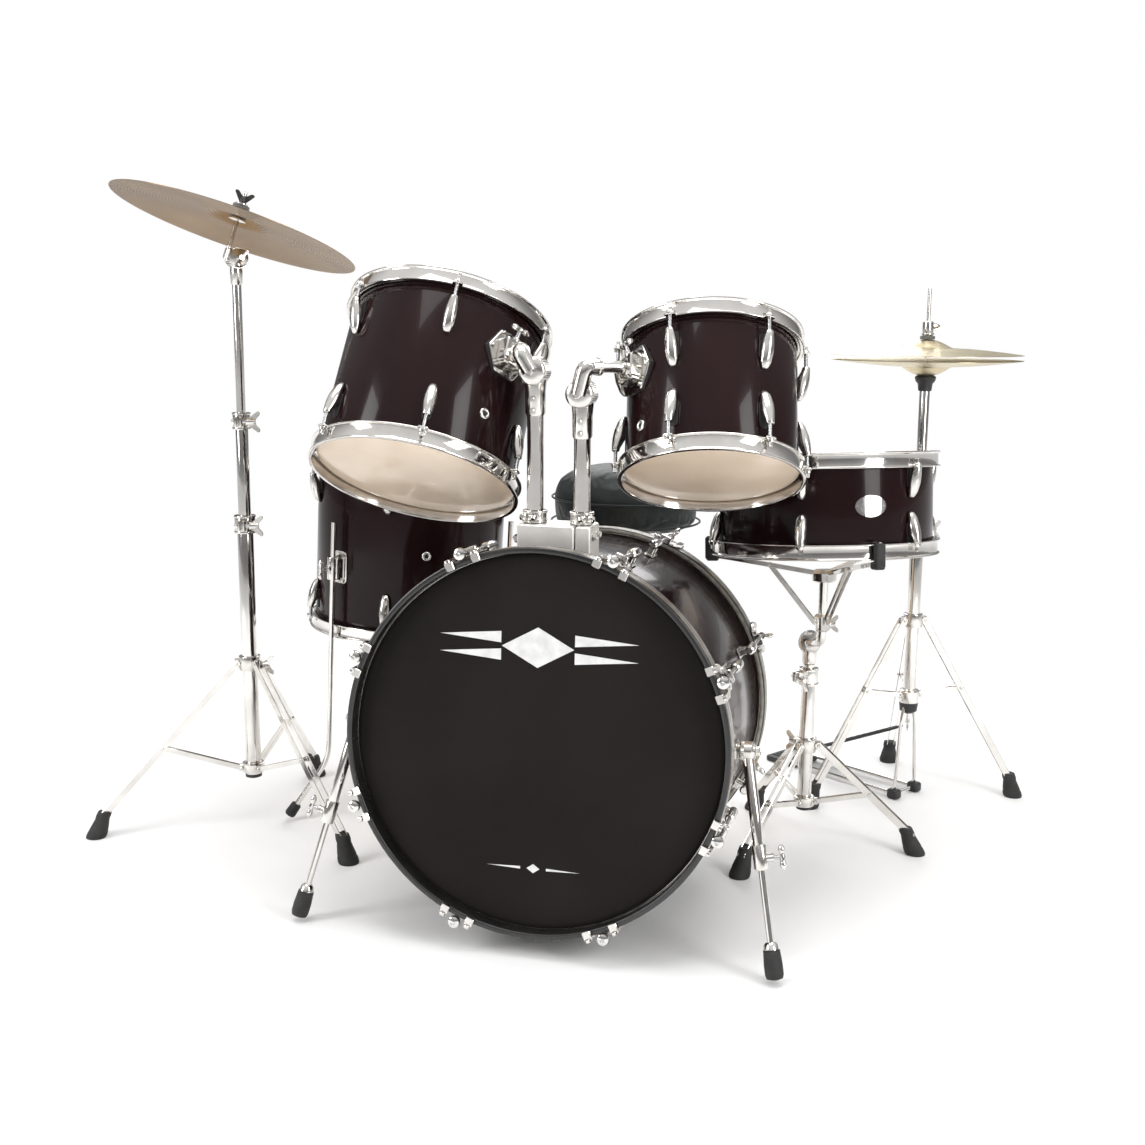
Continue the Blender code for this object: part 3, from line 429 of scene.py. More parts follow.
LACQUER = finish("burgundy_lacquer", (0.012, 0.005, 0.006), 0.16,
                 (noise(5.0, stretch=(1.0, 1.0, 0.35)), (0.006, 0.0022, 0.0028), (0.018, 0.0070, 0.0072)),
                 (noise(38.0), 0.10, 0.24), (noise(210.0, 1.0), 0.00003, 0.6), coat=0.16, gloss=0.10)
PLYWOOD = finish("shell_plywood", (0.45, 0.30, 0.18), 0.55,
                 (noise(30.0, 6.0, (1.0, 1.0, 6.0)), (0.30, 0.19, 0.11), (0.56, 0.40, 0.25)),
                 (noise(90.0), 0.45, 0.65), (noise(160.0, stretch=(1.0, 1.0, 8.0)), 0.0002, 0.5))
BLACK_LACQUER = finish("black_hoop_lacquer", (0.012, 0.012, 0.012), 0.28,
                       (noise(12.0), (0.007, 0.007, 0.007), (0.020, 0.018, 0.017)),
                       (noise(45.0), 0.20, 0.38), (noise(260.0, 2.0), 0.00004, 0.6), coat=0.4)
INLAY = finish("hoop_inlay", (0.42, 0.38, 0.33), 0.3,
               (noise(120.0, 5.0), (0.30, 0.27, 0.23), (0.56, 0.52, 0.46)), (noise(60.0), 0.22, 0.42), metallic=0.7)
BLACK_FILM = finish("black_film", (0.014, 0.012, 0.011), 0.60,
                    (noise(4.0), (0.011, 0.0095, 0.0085), (0.017, 0.0145, 0.0130)),
                    (noise(25.0), 0.54, 0.68), (noise(900.0, 2.0), 0.00003, 0.5), gloss=0.08)
CLEAR_FILM = finish("amber_film", (0.84, 0.70, 0.56), 0.22,
                    (noise(6.0, 2.0), (0.76, 0.60, 0.45), (0.95, 0.79, 0.62)),
                    (noise(18.0), 0.12, 0.30), (noise(9.0, 1.0), 0.0015, 0.35), coat=0.5)
COATED_FILM = finish("coated_film", (0.80, 0.79, 0.76), 0.6,
                     (noise(9.0), (0.72, 0.71, 0.68), (0.84, 0.83, 0.80)),
                     (noise(60.0), 0.50, 0.70), (noise(1400.0, 2.0), 0.00008, 0.7))
CHROME = finish("chrome", (0.80, 0.80, 0.81), 0.08,
                (noise(22.0), (0.69, 0.665, 0.635), (0.83, 0.81, 0.78)),
                (noise(55.0, 5.0), 0.04, 0.15), (noise(70.0, 1.0), 0.00006, 0.4), metallic=1.0)
CAST = finish("cast_chrome", (0.78, 0.78, 0.79), 0.14,
              (noise(35.0), (0.60, 0.58, 0.55), (0.82, 0.795, 0.76)),
              (noise(80.0, 5.0), 0.08, 0.24), (noise(110.0, 2.0), 0.00025, 0.5), metallic=1.0)
SATIN = finish("satin_cast", (0.84, 0.82, 0.79), 0.36,
               (noise(30.0), (0.76, 0.74, 0.71), (0.88, 0.86, 0.83)),
               (noise(70.0, 5.0), 0.30, 0.44), (noise(180.0, 2.0), 0.0002, 0.5), metallic=0.55)
THREAD = finish("threaded_steel", (0.62, 0.62, 0.63), 0.25,
                (noise(300.0), (0.42, 0.42, 0.43), (0.72, 0.72, 0.73)),
                (noise(200.0), 0.18, 0.36), (noise(900.0), 0.0003, 0.7), metallic=1.0)
CRASH_UPRIGHT = frame_matrix((0.0, 0.0, 0.0), joint_axis("crash_spin")).to_3x3().inverted()
BRONZE = cymbal_metal("crash_bronze", (0.17, 0.098, 0.040), (0.32, 0.205, 0.100),
                      CRASH_UPRIGHT.to_euler("XYZ"))
BRASS = cymbal_metal("hihat_brass", (0.52, 0.43, 0.27), (0.74, 0.66, 0.46))
RUBBER = finish("black_rubber", (0.020, 0.020, 0.020), 0.72,
                (noise(60.0), (0.013, 0.013, 0.013), (0.032, 0.031, 0.030)),
                (noise(120.0), 0.62, 0.85), (noise(700.0), 0.0002, 0.6))
PLASTIC = finish("black_plastic", (0.016, 0.016, 0.017), 0.42,
                 (noise(40.0), (0.011, 0.011, 0.012), (0.024, 0.024, 0.025)),
                 (noise(90.0), 0.34, 0.52), (noise(500.0), 0.0001, 0.5))
FELT = finish("grey_felt", (0.10, 0.10, 0.10), 0.95,
              (noise(420.0, 6.0), (0.045, 0.045, 0.045), (0.17, 0.165, 0.16)),
              (noise(200.0), 0.88, 1.0), (noise(900.0, 6.0), 0.0012, 0.9))
FELT.node_tree.nodes["Principled BSDF"].inputs["Sheen Weight"].default_value = 0.4
VINYL = finish("seat_vinyl", (0.010, 0.013, 0.013), 0.45,
               (noise(14.0), (0.007, 0.009, 0.009), (0.016, 0.020, 0.020)),
               (noise(70.0), 0.36, 0.56), (noise(420.0, kind="cells"), 0.0004, 0.55), gloss=0.25)
INK = finish("silver_ink", (0.72, 0.72, 0.71), 0.5,
             (noise(60.0), (0.62, 0.62, 0.61), (0.78, 0.78, 0.77)), (noise(90.0), 0.42, 0.60))


# ---------------------------------------------------------------- small hardware

def wing_outline(span, height, waist):
    """Butterfly outline: X along the stem, Y across the wings."""
    half = [(0.0, -waist), (height * 0.40, -span * 0.28), (height, -span * 0.50),
            (height * 1.05, -span * 0.34),
            (height * 0.62, -waist)]
    mirrored = [(x, -y) for x, y in reversed(half)]
    return fillet(list(reversed(half + mirrored)), span * 0.10, 3, True)


def wing_nut(shape, point, outward, across, span=0.036, material=None):
    """Hub with two flat wings, standing on a point."""
    material = material or CAST
    point, outward = Vector(point), Vector(outward).normalized()
    height = span * 0.50
    hub = [(span * 0.19, 0.0), (span * 0.19, height * 0.5), (span * 0.13, height * 0.8)]
    shape.turn(hub, material, frame_matrix(point, outward), 20)
    flat = outward.cross(Vector(across)).normalized()
    thickness = span * 0.12
    place = frame_matrix(point + outward * height * 0.15, flat, outward) @ move(z=-thickness / 2.0)
    shape.slab(wing_outline(span, height, span * 0.12), thickness, material, place)


def tee_bolt(shape, point, outward, across, stem=0.018, span=0.036, material=None):
    """Clamp screw with a rounded cross handle."""
    material = material or CHROME
    point, outward, across = Vector(point), Vector(outward).normalized(), Vector(across).normalized()
    shape.rod(point - outward * 0.004, point + outward * stem, 0.0032, THREAD, 16)
    shape.turn([(0.0062, 0.0), (0.0062, 0.004), (0.0050, 0.0055)], material, frame_matrix(point, outward), 20)
    head = point + outward * (stem + 0.003)
    swell = [0.0022, 0.0042, 0.0050, 0.0040, 0.0034, 0.0046, 0.0034, 0.0040, 0.0050, 0.0042, 0.0022]
    steps = len(swell) - 1
    shape.tube([head + across * span * (i / steps - 0.5) for i in range(steps + 1)], swell, material, 16)


def hex_bolt(shape, point, outward, size=0.0075, material=None):
    material = material or CHROME
    place = frame_matrix(point, outward)
    shape.turn([(size * 0.78, 0.0), (size * 0.78, size * 0.16)], material, place, 20)
    shape.slab(regular(6, size * 0.58), size * 0.55, material, place @ move(z=size * 0.16), size * 0.08)


def key_bolt(shape, place, material=None):
    """Tension rod's head: washer, collar and square, standing along Z."""
    material = material or CHROME
    shape.turn([(0.0060, 0.0), (0.0060, 0.0012)], material, place, 20)
    shape.turn([(0.0048, 0.0012), (0.0052, 0.0022), (0.0044, 0.0046)], material, place, 20)
    shape.slab(rectangle(0.0056, 0.0056, 0.0006), 0.0068, material, place @ move(z=0.0044), 0.0005)


def toothed_disc(shape, place, radius, depth, teeth=40):
    """Ratchet face: a disc with fine radial teeth round its rim."""
    outline = []
    for i in range(teeth * 2):
        r = radius if i % 2 else radius * 0.955
        outline.append(Vector((r * math.cos(TURN * i / (teeth * 2)), r * math.sin(TURN * i / (teeth * 2)))))
    shape.slab(outline, depth, CAST, place, 0.0002)


def clamp(shape, centre, outside, direction, height=0.030, wing=True):
    """Split collar round a tube, with its lug, screw and wing."""
    place = move(*centre)
    shape.ring(outside, outside + 0.0042, 0.0, height, CAST, place, 40, 0.0010)
    for rim in (0.0, height - 0.004):
        shape.ring(outside, outside + 0.0054, rim, rim + 0.004, CAST, place, 40, 0.0010)
    outward = polar(direction, 1.0)
    aside = Vector((-outward.y, outward.x, 0.0))
    middle_height = Vector(centre) + UP * (height / 2.0)
    for sign in (-1.0, 1.0):
        lug = middle_height + outward * (outside + 0.009) + aside * sign * 0.0042
        shape.box((0.016, height * 0.62, 0.0046), CAST, frame_matrix(lug, aside, outward), 0.003)
    bolt = middle_height + outward * (outside + 0.011) + aside * 0.0065
    hex_bolt(shape, bolt - aside * 0.013, -aside, 0.0085)
    if wing:
        shape.rod(bolt, bolt + aside * 0.010, 0.0030, THREAD, 16)
        wing_nut(shape, bolt + aside * 0.008, aside, UP, 0.038)
    else:
        hex_bolt(shape, bolt, aside, 0.0085)


def rubber_foot(shape, point, lean, radius=0.0185, height=0.048):
    """Tapered foot, flat on the ground, sheared along its leg."""
    rows = [(0.0, 0.94), (0.003, 1.0), (0.010, 0.97), (0.013, 0.90), (0.016, 0.90), (0.034, 0.68),
            (0.040, 0.72),
            (height, 0.66)]
    rings = []
    for z, share in rows:
        centre = Vector(point) + Vector((lean.x * z, lean.y * z, z))
        rings.append([centre + Vector((math.cos(TURN * s / 24), math.sin(TURN * s / 24),
                                       0.0)) * radius * share
                      for s in range(24)])
    shape.loft(rings, RUBBER)


# ---------------------------------------------------------------- drums

def shell_piece(drum):
    """Lacquered skin over plywood plies, with cut bearing edges."""
    r, h = drum.radius, drum.half
    shape = Shape()
    skin = [(r - 0.0012, -h + 0.0012), (r - 0.0004, -h + 0.0006), (r, -h + 0.0022), (r, h - 0.0022),
            (r - 0.0004, h - 0.0006), (r - 0.0012, h - 0.0012)]
    plies = [(r - SHELL_WALL, -h + 0.004), (r - 0.0030, -h), (r - 0.0013, -h + 0.0010),
             (r - 0.0013, h - 0.0010),
             (r - 0.0030, h), (r - SHELL_WALL, h - 0.004)]
    shape.turn(skin, LACQUER, drum.place, 128, hollow=True)
    shape.turn(plies, PLYWOOD, drum.place, 96, hollow=True)
    return shape


def head_piece(drum, side, film):
    """Stretched film over the bearing edge, down to its metal flesh hoop."""
    r, h = drum.radius, drum.half
    under = [(r - 0.0060, h + 0.0008), (r - 0.0010, h + 0.0007), (r + 0.0012, h - 0.0008),
             (r + 0.0016, h - 0.0050)]
    over = [(r + 0.0020, h - 0.0050), (r + 0.0017, h - 0.0004), (r - 0.0008, h + 0.0012),
            (r - 0.0060, h + 0.0014)]
    shape = Shape()
    place = drum.place if side > 0 else drum.place @ spin(180.0, "X")
    shape.turn(under + over, film, place, 96)
    shape.ring(r + 0.0012, r + 0.0042, h - 0.0085, h - 0.0052, CAST, place, 96, 0.0008)
    return shape, place


def steel_hoop(drum, side, angles):
    """Flanged hoop: vertical wall, rolled rim, and an ear for each tension rod."""
    r, h = drum.radius, drum.half
    place = drum.place if side > 0 else drum.place @ spin(180.0, "X")
    outline = [(r + 0.0056, h - 0.0105), (r + 0.0120, h - 0.0105), (r + 0.0125, h - 0.0085),
               (r + 0.0082, h - 0.0080),
               (r + 0.0080, h + 0.0108), (r + 0.0112, h + 0.0120), (r + 0.0118, h + 0.0148), (r + 0.0056, h + 0.0150)]
    shape = Shape()
    shape.turn(fillet(outline, 0.0014, 2, True), CHROME, place, 128, hollow=True)
    for angle in angles:
        turn = angle if side > 0 else -angle
        ear = place @ spin(turn) @ move(r + 0.0148, 0.0, h - 0.0105)
        shape.slab(rectangle(0.0130, 0.0165, 0.0045), 0.0024, CHROME, ear, 0.0006)
    return shape


def lug(shape, place, radius, angle, height, side):
    """Tear-shaped casing with its nose towards the hoop."""
    here = place @ spin(angle) @ move(radius, 0.0, height)
    if side < 0:
        here = here @ spin(180.0, "X")
    stations = [(-0.0290, 0.0024, 0.0020, 0.0022), (-0.0275, 0.0052, 0.0034, 0.0040),
                (-0.0200, 0.0082, 0.0058, 0.0070),
                (-0.0060, 0.0098, 0.0084, 0.0096), (0.0060, 0.0094, 0.0104, 0.0098), (0.0150, 0.0078, 0.0130, 0.0078),
                (0.0205, 0.0066, 0.0146, 0.0064), (0.0245, 0.0062, 0.0150, 0.0060), (0.0255, 0.0054, 0.0150, 0.0052)]
    rings = [[(centre + deep * math.sin(TURN * s / 24), wide * math.cos(TURN * s / 24), z) for s in range(24)]
             for z, wide, centre, deep in stations]
    shape.loft(rings, CAST, here)
    shape.slab(fillet([(-0.027, -0.0065), (0.012, -0.0085), (0.012, 0.0085), (-0.027, 0.0065)], 0.005, 4,
                      True),
               0.0016, RUBBER, here @ spin(-90.0, "Y") @ spin(180.0, "Z") @ move(z=-0.0012))


def lugs_and_rods(drum, body, angles, inset_length):
    """Two rows of lugs, with tension rods and square heads on the hoops' ears."""
    lugs, rods = Shape(), Shape()
    for side in (1.0, -1.0):
        height = side * (drum.half - inset_length)
        for angle in angles:
            lug(lugs, drum.place, drum.radius, angle, height, side)
            foot = drum.place @ spin(angle) @ move(drum.radius + 0.0150, 0.0, height + side * 0.024)
            ear = drum.place @ spin(angle) @ move(drum.radius + 0.0150, 0.0, side * (drum.half - 0.0078))
            rods.rod(foot.translation, ear.translation, 0.0027, THREAD, 12)
            key_bolt(rods, ear if side > 0 else ear @ spin(180.0, "X"))
    piece(drum.name + "_lugs", body, lugs)
    piece(drum.name + "_tension_rods", body, rods)


def vent(drum, body, angle, height):
    """Air hole with a rolled metal grommet."""
    shape = Shape()
    place = drum.place @ spin(angle) @ move(drum.radius, 0.0, height) @ spin(90.0, "Y")
    outline = [(0.0040, -0.004), (0.0050, -0.004), (0.0055, 0.0006), (0.0088, 0.0006), (0.0080, 0.0024),
               (0.0060, 0.0032), (0.0042, 0.0022)]
    shape.turn(fillet(outline, 0.0006, 2, True), CHROME, place, 32, hollow=True)
    shape.turn([(0.0046, -0.003), (0.0046, 0.0002)], RUBBER, place, 24)
    piece(drum.name + "_vent", body, shape)


def drum_pieces(name, body):
    """Everything that a steel-hooped drum carries."""
    drum = Drum(name, name + "_top_head", name + "_bottom_head")
    angles = [LUG_PHASE[name] + 360.0 / LUG_COUNT * i for i in range(LUG_COUNT)]
    detail(name + "_shell", body, shell_piece(drum), drum.place)
    for side, end, film, slot in ((1.0, "top", COATED_FILM, "coated_head"),
                                  (-1.0, "bottom", CLEAR_FILM, "clear_head")):
        shape, place = head_piece(drum, side, film)
        detail("%s_%s_head" % (name, end), body, shape, place)
        detail("%s_%s_hoop" % (name, end), body, steel_hoop(drum, side, angles), drum.place)
    lugs_and_rods(drum, body, angles, LUG_INSET[name])
    vent(drum, body, *VENTS[name])
    return drum


# ---------------------------------------------------------------- bass drum

def bass_hoop(drum, side):
    """Wooden hoop with eased corners, two metallic lines round it, and a pale face towards the shell."""
    low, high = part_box("bass_front_hoop")
    outer = (high.x - low.x) / 2.0
    width = 0.038
    far = drum.half + 0.0218
    place = drum.place if side > 0 else drum.place @ spin(180.0, "X")
    shape = Shape()
    outline = [(outer - 0.009, far - width), (outer, far - width), (outer, far), (outer - 0.009, far)]
    shape.turn(fillet(outline, 0.0028, 3, True), BLACK_LACQUER, place, 144, hollow=True)
    for offset in (0.0105, 0.0215):
        low_edge = far - width + offset
        shape.ring(outer - 0.0008, outer + 0.0003, low_edge, low_edge + 0.0062, INLAY, place, 144, 0.0003)
    shape.ring(outer - 0.0078, outer - 0.0022, far - width - 0.0005, far - width + 0.0010, INLAY, place, 144,
               0.0003)
    return shape, outer, far


def claw(shape, place, outer, far, handle):
    """Hook with two square fingers over the hoop, drawn back by a rod in its bridge."""
    for sign in (-1.0, 1.0):
        side = sign * BASS_CLAW_SPREAD
        shape.box((0.013, 0.013, 0.0060), CHROME, place @ move(outer - 0.0040, side, far + 0.0032), 0.0016)
        arm = [place @ Vector(p) for p in ((outer + 0.0034, side, far + 0.0050),
                                           (outer + 0.0036, side, far - 0.018),
                                           (outer + 0.0062, sign * 0.013, far - 0.036),
                                           (outer + 0.0080, sign * 0.0065, far - 0.047))]
        width_way = (place.to_3x3() @ Vector((1.0, 0.0, 0.0))).normalized()
        for start, end in zip(arm, arm[1:]):
            shape.strip(start, end, 0.0095, 0.0050, width_way, CHROME)
    shape.box((0.013, 0.020, 0.010), CHROME, place @ move(outer + 0.0080, 0.0, far - 0.049), 0.003)
    rod_start = place @ Vector((outer + 0.0080, 0.0, far + (0.012 if not handle else 0.006)))
    rod_end = place @ Vector((outer + 0.0080, 0.0, BASS_LUG_HEIGHT + 0.020))
    shape.rod(rod_end, rod_start, 0.0030, THREAD, 14)
    top = place @ move(outer + 0.0080, 0.0, far - 0.002)
    if handle:
        across = place.to_3x3() @ Vector((1.0, 0.4, 0.0))
        tee_bolt(shape, top.translation, place.to_3x3() @ Vector((0.0, 0.0, 1.0)), across, 0.008, 0.040)
    else:
        shape.turn([(0.0085, 0.0), (0.0095, 0.003), (0.0085, 0.008), (0.0050, 0.010)], CHROME, top, 24)


def bass_lug(shape, place, radius, rise):
    """Tubular lug on two feet, lying along the drum."""
    half = 0.024
    barrel = [(0.0048, -half), (0.0072, -half + 0.002), (0.0082, -0.008), (0.0082, 0.008),
              (0.0072, half - 0.002),
              (0.0048, half)]
    shape.turn(barrel, CAST, place @ move(radius + rise), 24)
    for z in (-0.013, 0.013):
        shape.box((rise, 0.0095, 0.0090), CAST, place @ move(radius + rise / 2.0, 0.0, z), 0.002)
    base = place @ move(radius + 0.0004) @ spin(90.0, "Y")
    shape.slab(rectangle(0.046, 0.0170, 0.006, 4), 0.0022, CAST, base, 0.0006)


def ornament(shape, drum):
    """Plain printed ornament: a lozenge between tapering bars, and a small one low down."""
    face = drum.place @ move(z=drum.half + 0.0017)
    marks = [[(-0.055, 0.143), (0.0, 0.113), (0.055, 0.143), (0.0, 0.173)]]
    marks.append([(-0.010, -0.190), (0.0, -0.197), (0.010, -0.190), (0.0, -0.183)])
    for sign in (-1.0, 1.0):
        for y in (0.130, 0.156):
            marks.append([(sign * 0.056, y - 0.0085), (sign * 0.151, y), (sign * 0.056, y + 0.0085)])
        marks.append([(sign * 0.020, -0.192), (sign * 0.072, -0.190), (sign * 0.020, -0.188)])
    for outline in marks:
        points = [Vector(p) for p in outline]
        area = sum(p.x * q.y - q.x * p.y for p, q in zip(points, points[1:] + points[:1]))
        shape.slab(points if area > 0.0 else points[::-1], 0.0003, INK, face, 0.0001)


def bass_drum():
    drum = Drum("bass", "bass_front_head", "bass_batter_head", 0.003)
    detail("bass_shell", "kit", shell_piece(drum), drum.place)
    for side, node, film, slot in ((1.0, "bass_front_head", BLACK_FILM, "black_head"),
                                   (-1.0, "bass_batter_head", CLEAR_FILM, "clear_head")):
        shape, place = head_piece(drum, side, film)
        detail(node, "kit", shape, place)
    print_shape = Shape()
    ornament(print_shape, drum)
    piece("bass_front_print", "kit", print_shape)
    claws, lugs = Shape(), Shape()
    for side, node in ((1.0, "bass_front_hoop"), (-1.0, "bass_rear_hoop")):
        shape, outer, far = bass_hoop(drum, side)
        detail(node, "kit", shape, drum.place)
        base = drum.place if side > 0 else drum.place @ spin(180.0, "X")
        for i in range(CLAW_COUNT):
            here = base @ spin(BASS_LUG_PHASE + 360.0 / CLAW_COUNT * i)
            claw(claws, here, outer, far, handle=side < 0)
            bass_lug(lugs, here @ move(z=BASS_LUG_HEIGHT), drum.radius, outer + 0.0080 - drum.radius)
    piece("bass_claws", "kit", claws)
    piece("bass_lugs", "kit", lugs)
    return drum


# ---------------------------------------------------------------- snare fittings

def band(shape, place, radius, columns, depth, material):
    """A plate that follows the shell: columns of (distance round the shell, low, high)."""
    rings = []
    for arc, low, high in columns:
        angle = arc / radius
        inner, outer = radius + 0.0002, radius + depth
        rings.append([(inner * math.cos(angle), inner * math.sin(angle), low),
                      (outer * math.cos(angle), outer * math.sin(angle), low),
                      (outer * math.cos(angle), outer * math.sin(angle), high),
                      (inner * math.cos(angle), inner * math.sin(angle), high)])
    shape.loft(rings, material, place)


def snare_badge(drum):
    """Plain oval plate with a raised middle and a pin at each end; it carries no mark."""
    shape = Shape()
    place = drum.place @ spin(BADGE_ANGLE)
    for half_width, half_height, rise, depth in BADGE_OVALS:
        columns = []
        for i in range(25):
            arc = half_width * math.cos(math.pi * (1.0 - i / 24))
            tall = max(half_height * math.sqrt(max(1.0 - (arc / half_width) ** 2, 0.0)), 0.0006)
            columns.append((arc, -tall, tall))
        band(shape, place, drum.radius + rise, columns, depth, CHROME)
    for arc in (-BADGE_PIN_ARC, BADGE_PIN_ARC):
        pin = place @ spin(math.degrees(arc / drum.radius)) @ move(drum.radius + 0.0018)
        shape.turn([(0.0015, 0.0), (0.0011, 0.0007)], CAST, pin @ spin(90.0, "Y"), 12)
    piece("snare_badge", "snare", shape)


def snare_strainer(drum):
    """Throw-off casing on the drummer's side, and the wires under the drum."""
    shape = Shape()
    place = drum.place @ spin(THROW_ANGLE) @ move(drum.radius, 0.0, -0.012) @ spin(90.0, "Y")
    shape.slab(rectangle(0.066, 0.036, 0.007, 4), 0.0045, CAST, place @ move(z=-0.002))
    shape.slab(rectangle(0.054, 0.026, 0.005, 4), 0.0095, CAST, place @ move(z=0.0015), 0.0016)
    for end in (-1.0, 1.0):
        hex_bolt(shape, place @ Vector((end * 0.0285, 0.0, 0.0024)), place.to_3x3().col[2], 0.005)
    piece("snare_strainer", "snare", shape)
    wires = Shape()
    across = drum.place @ spin(THROW_ANGLE)
    under = -(drum.half + 0.0050)
    for i in range(16):
        y = (i - 7.5) * 0.0026
        coil = []
        for s in range(81):
            coil.append(across @ Vector((-0.140 + 0.280 * s / 80, y + 0.0007 * math.cos(s * 1.9),
                                         under + 0.0007 * math.sin(s * 1.9))))
        wires.tube(coil, 0.00045, THREAD, 5)
    for end in (-1.0, 1.0):
        wires.box((0.012, 0.046, 0.0016), CHROME, across @ move(end * 0.142, 0.0, under), 0.002)
        wires.box((0.030, 0.020, 0.0005), PLASTIC, across @ move(end * 0.160, 0.0, under - 0.0010), 0.001)
    piece("snare_wires", "snare", wires)


def throw_lever():
    """Flat lever with a thumb lip, on its pin."""
    drum = Drum("snare", "snare_top_head", "snare_bottom_head")
    place = frame_matrix(joint_point("snare_lever_throw"), drum.axis,
                         drum.place.to_3x3() @ polar(THROW_ANGLE, 1.0))
    shape = Shape()
    outline = fillet([(-0.004, -0.0080), (0.058, -0.0060), (0.058, 0.0060), (-0.004, 0.0080)], 0.005, 4, True)
    arm = place @ move(0.0045) @ spin(-90.0, "Y")
    shape.slab(outline, 0.0045, CAST, arm @ move(z=-0.0045), 0.001)
    lip = place @ move(0.0020, 0.0, 0.054)
    shape.box((0.009, 0.0150, 0.0060), CAST, lip, 0.002)
    side = place.to_3x3().col[1]
    shape.rod(place.translation - side * 0.012, place.translation + side * 0.012, 0.0052, CHROME, 20)
    detail("snare_throw_lever", "snare_lever", shape, place)


# ---------------------------------------------------------------- tom mount

def mount_block(drum):
    """Saddle block with a split jaw on its right side, and a memory collar round each post."""
    low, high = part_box("tom_mount_block")
    centre_y = (low.y + high.y) / 2.0
    along = (centre_y - drum.place.translation.y) / drum.axis.y
    hub = drum.place.translation + drum.axis * along
    arc_radius = drum.radius - 0.0032
    split = low.x + (high.x - low.x) * 0.79
    shape = Shape()
    for left, right in ((low.x, split - 0.0013), (split + 0.0013, high.x)):
        outline = []
        for i in range(9):
            x = left + (right - left) * i / 8
            outline.append((x, hub.z + math.sqrt(arc_radius ** 2 - (x - hub.x) ** 2)))
        corner = fillet([(right, outline[-1][1]), (right, high.z), (left, high.z), (left, outline[0][1])],
                        0.005, 4)
        outline = outline[1:-1] + [(p.x, p.y) for p in corner]
        turned = Matrix.Translation((0.0, high.y, 0.0)) @ spin(90.0, "X")
        shape.slab([Vector(p) for p in outline], high.y - low.y, SATIN, turned, 0.0018)
    shape.box((0.010, high.y - low.y - 0.016, 0.020), CAST, move(split, centre_y + 0.004, high.z - 0.018))
    for y in (-0.014, 0.014):
        hex_bolt(shape, (high.x, centre_y + y, high.z - 0.016), (1.0, 0.0, 0.0), 0.009)
    detail("tom_mount_block", "kit", shape)
    collars = Shape()
    for side in ("left", "right"):
        post = middle(side + "_tom_post")
        x, y = joint_point(side + "_arm_tilt").x, post.y
        clamp(collars, (x, y, high.z + 0.001), 0.0131, -100.0 if side == "left" else -60.0, 0.018, False)
    piece("tom_post_collars", "kit", collars)


def tom_post(side):
    """Upright tube, swelling into the rear half of the ratchet."""
    low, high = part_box(side + "_tom_post")
    hub = joint_point(side + "_arm_tilt")
    y = (low.y + high.y) / 2.0
    shape = Shape()
    shape.rod((hub.x, y, low.z), (hub.x, y, hub.z - 0.012), TOM_POST_RADIUS, CHROME, 48, 0.001)
    neck = [(0.0129, -0.066), (0.0150, -0.062), (0.0152, -0.030), (0.0165, -0.016), (0.0150, -0.006)]
    shape.turn(neck, CAST, move(hub.x, y, hub.z), 40)
    for height in (-0.058, -0.040):
        hex_bolt(shape, (hub.x, y - 0.0148, hub.z + height), TO_AUDIENCE, 0.006)
    toothed_disc(shape, frame_matrix((hub.x, high.y, hub.z), TO_AUDIENCE), RATCHET_RADIUS, high.y - low.y, 44)
    detail(side + "_tom_post", side + "_post", shape)


def bracket_place(side, drum):
    """Frame on the shell's surface at the bracket: Z points outwards, Y up the drum."""
    outward = joint_axis(side + "_tom_angle") * (1.0 if side == "left" else -1.0)
    point = joint_point(side + "_tom_angle")
    outward = outward - outward.dot(drum.axis) * drum.axis
    outward.normalize()
    rise = drum.radius - (drum.place.inverted() @ point).xy.length
    return frame_matrix(point + outward * rise, outward, drum.axis.cross(outward))


def tom_arm(side, drum):
    """Front half of the ratchet with a bent rod into the drum's bracket."""
    hub = joint_point(side + "_arm_tilt")
    place = bracket_place(side, drum)
    back = Vector((hub.x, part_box(side + "_tom_post")[0].y - 0.0003, hub.z))
    front = back - Vector((0.0, 0.016, 0.0))
    shape = Shape()
    toothed_disc(shape, frame_matrix(back, TO_AUDIENCE), RATCHET_RADIUS, 0.0055, 44)
    shape.turn([(0.0195, 0.0055), (0.0200, 0.0120), (0.0165, 0.0150), (0.0105, 0.0160)], CAST,
               frame_matrix(back, TO_AUDIENCE), 48)
    hex_bolt(shape, front, TO_AUDIENCE, 0.011)
    start = back.lerp(front, 0.80)
    knee, tip = place @ Vector((0.0, 0.0, 0.034)), place @ Vector((0.0, 0.0, 0.0045))
    corner = Vector((hub.x + ELBOW_SHARES[side] * (knee.x - hub.x), start.y, knee.z))
    mouth = corner.lerp(knee, 0.45)
    shape.tube(fillet([start, corner, mouth], 0.018, 8), ARM_RADIUS, CAST, 32)
    shape.tube([corner.lerp(mouth, 0.80), corner.lerp(mouth, 0.84), mouth, mouth.lerp(knee, 0.04)],
               [0.0128, 0.0138, 0.0138, 0.0126], CAST, 32)
    shape.tube(fillet([corner.lerp(mouth, 0.5), knee, tip], 0.014, 6), ARM_ROD_RADIUS, CHROME, 28)
    hex_bolt(shape, corner.lerp(mouth, 0.55) - Vector((0.0, 0.0120, 0.0)), TO_AUDIENCE, 0.008)
    detail(side + "_tom_arm", side + "_arm", shape)


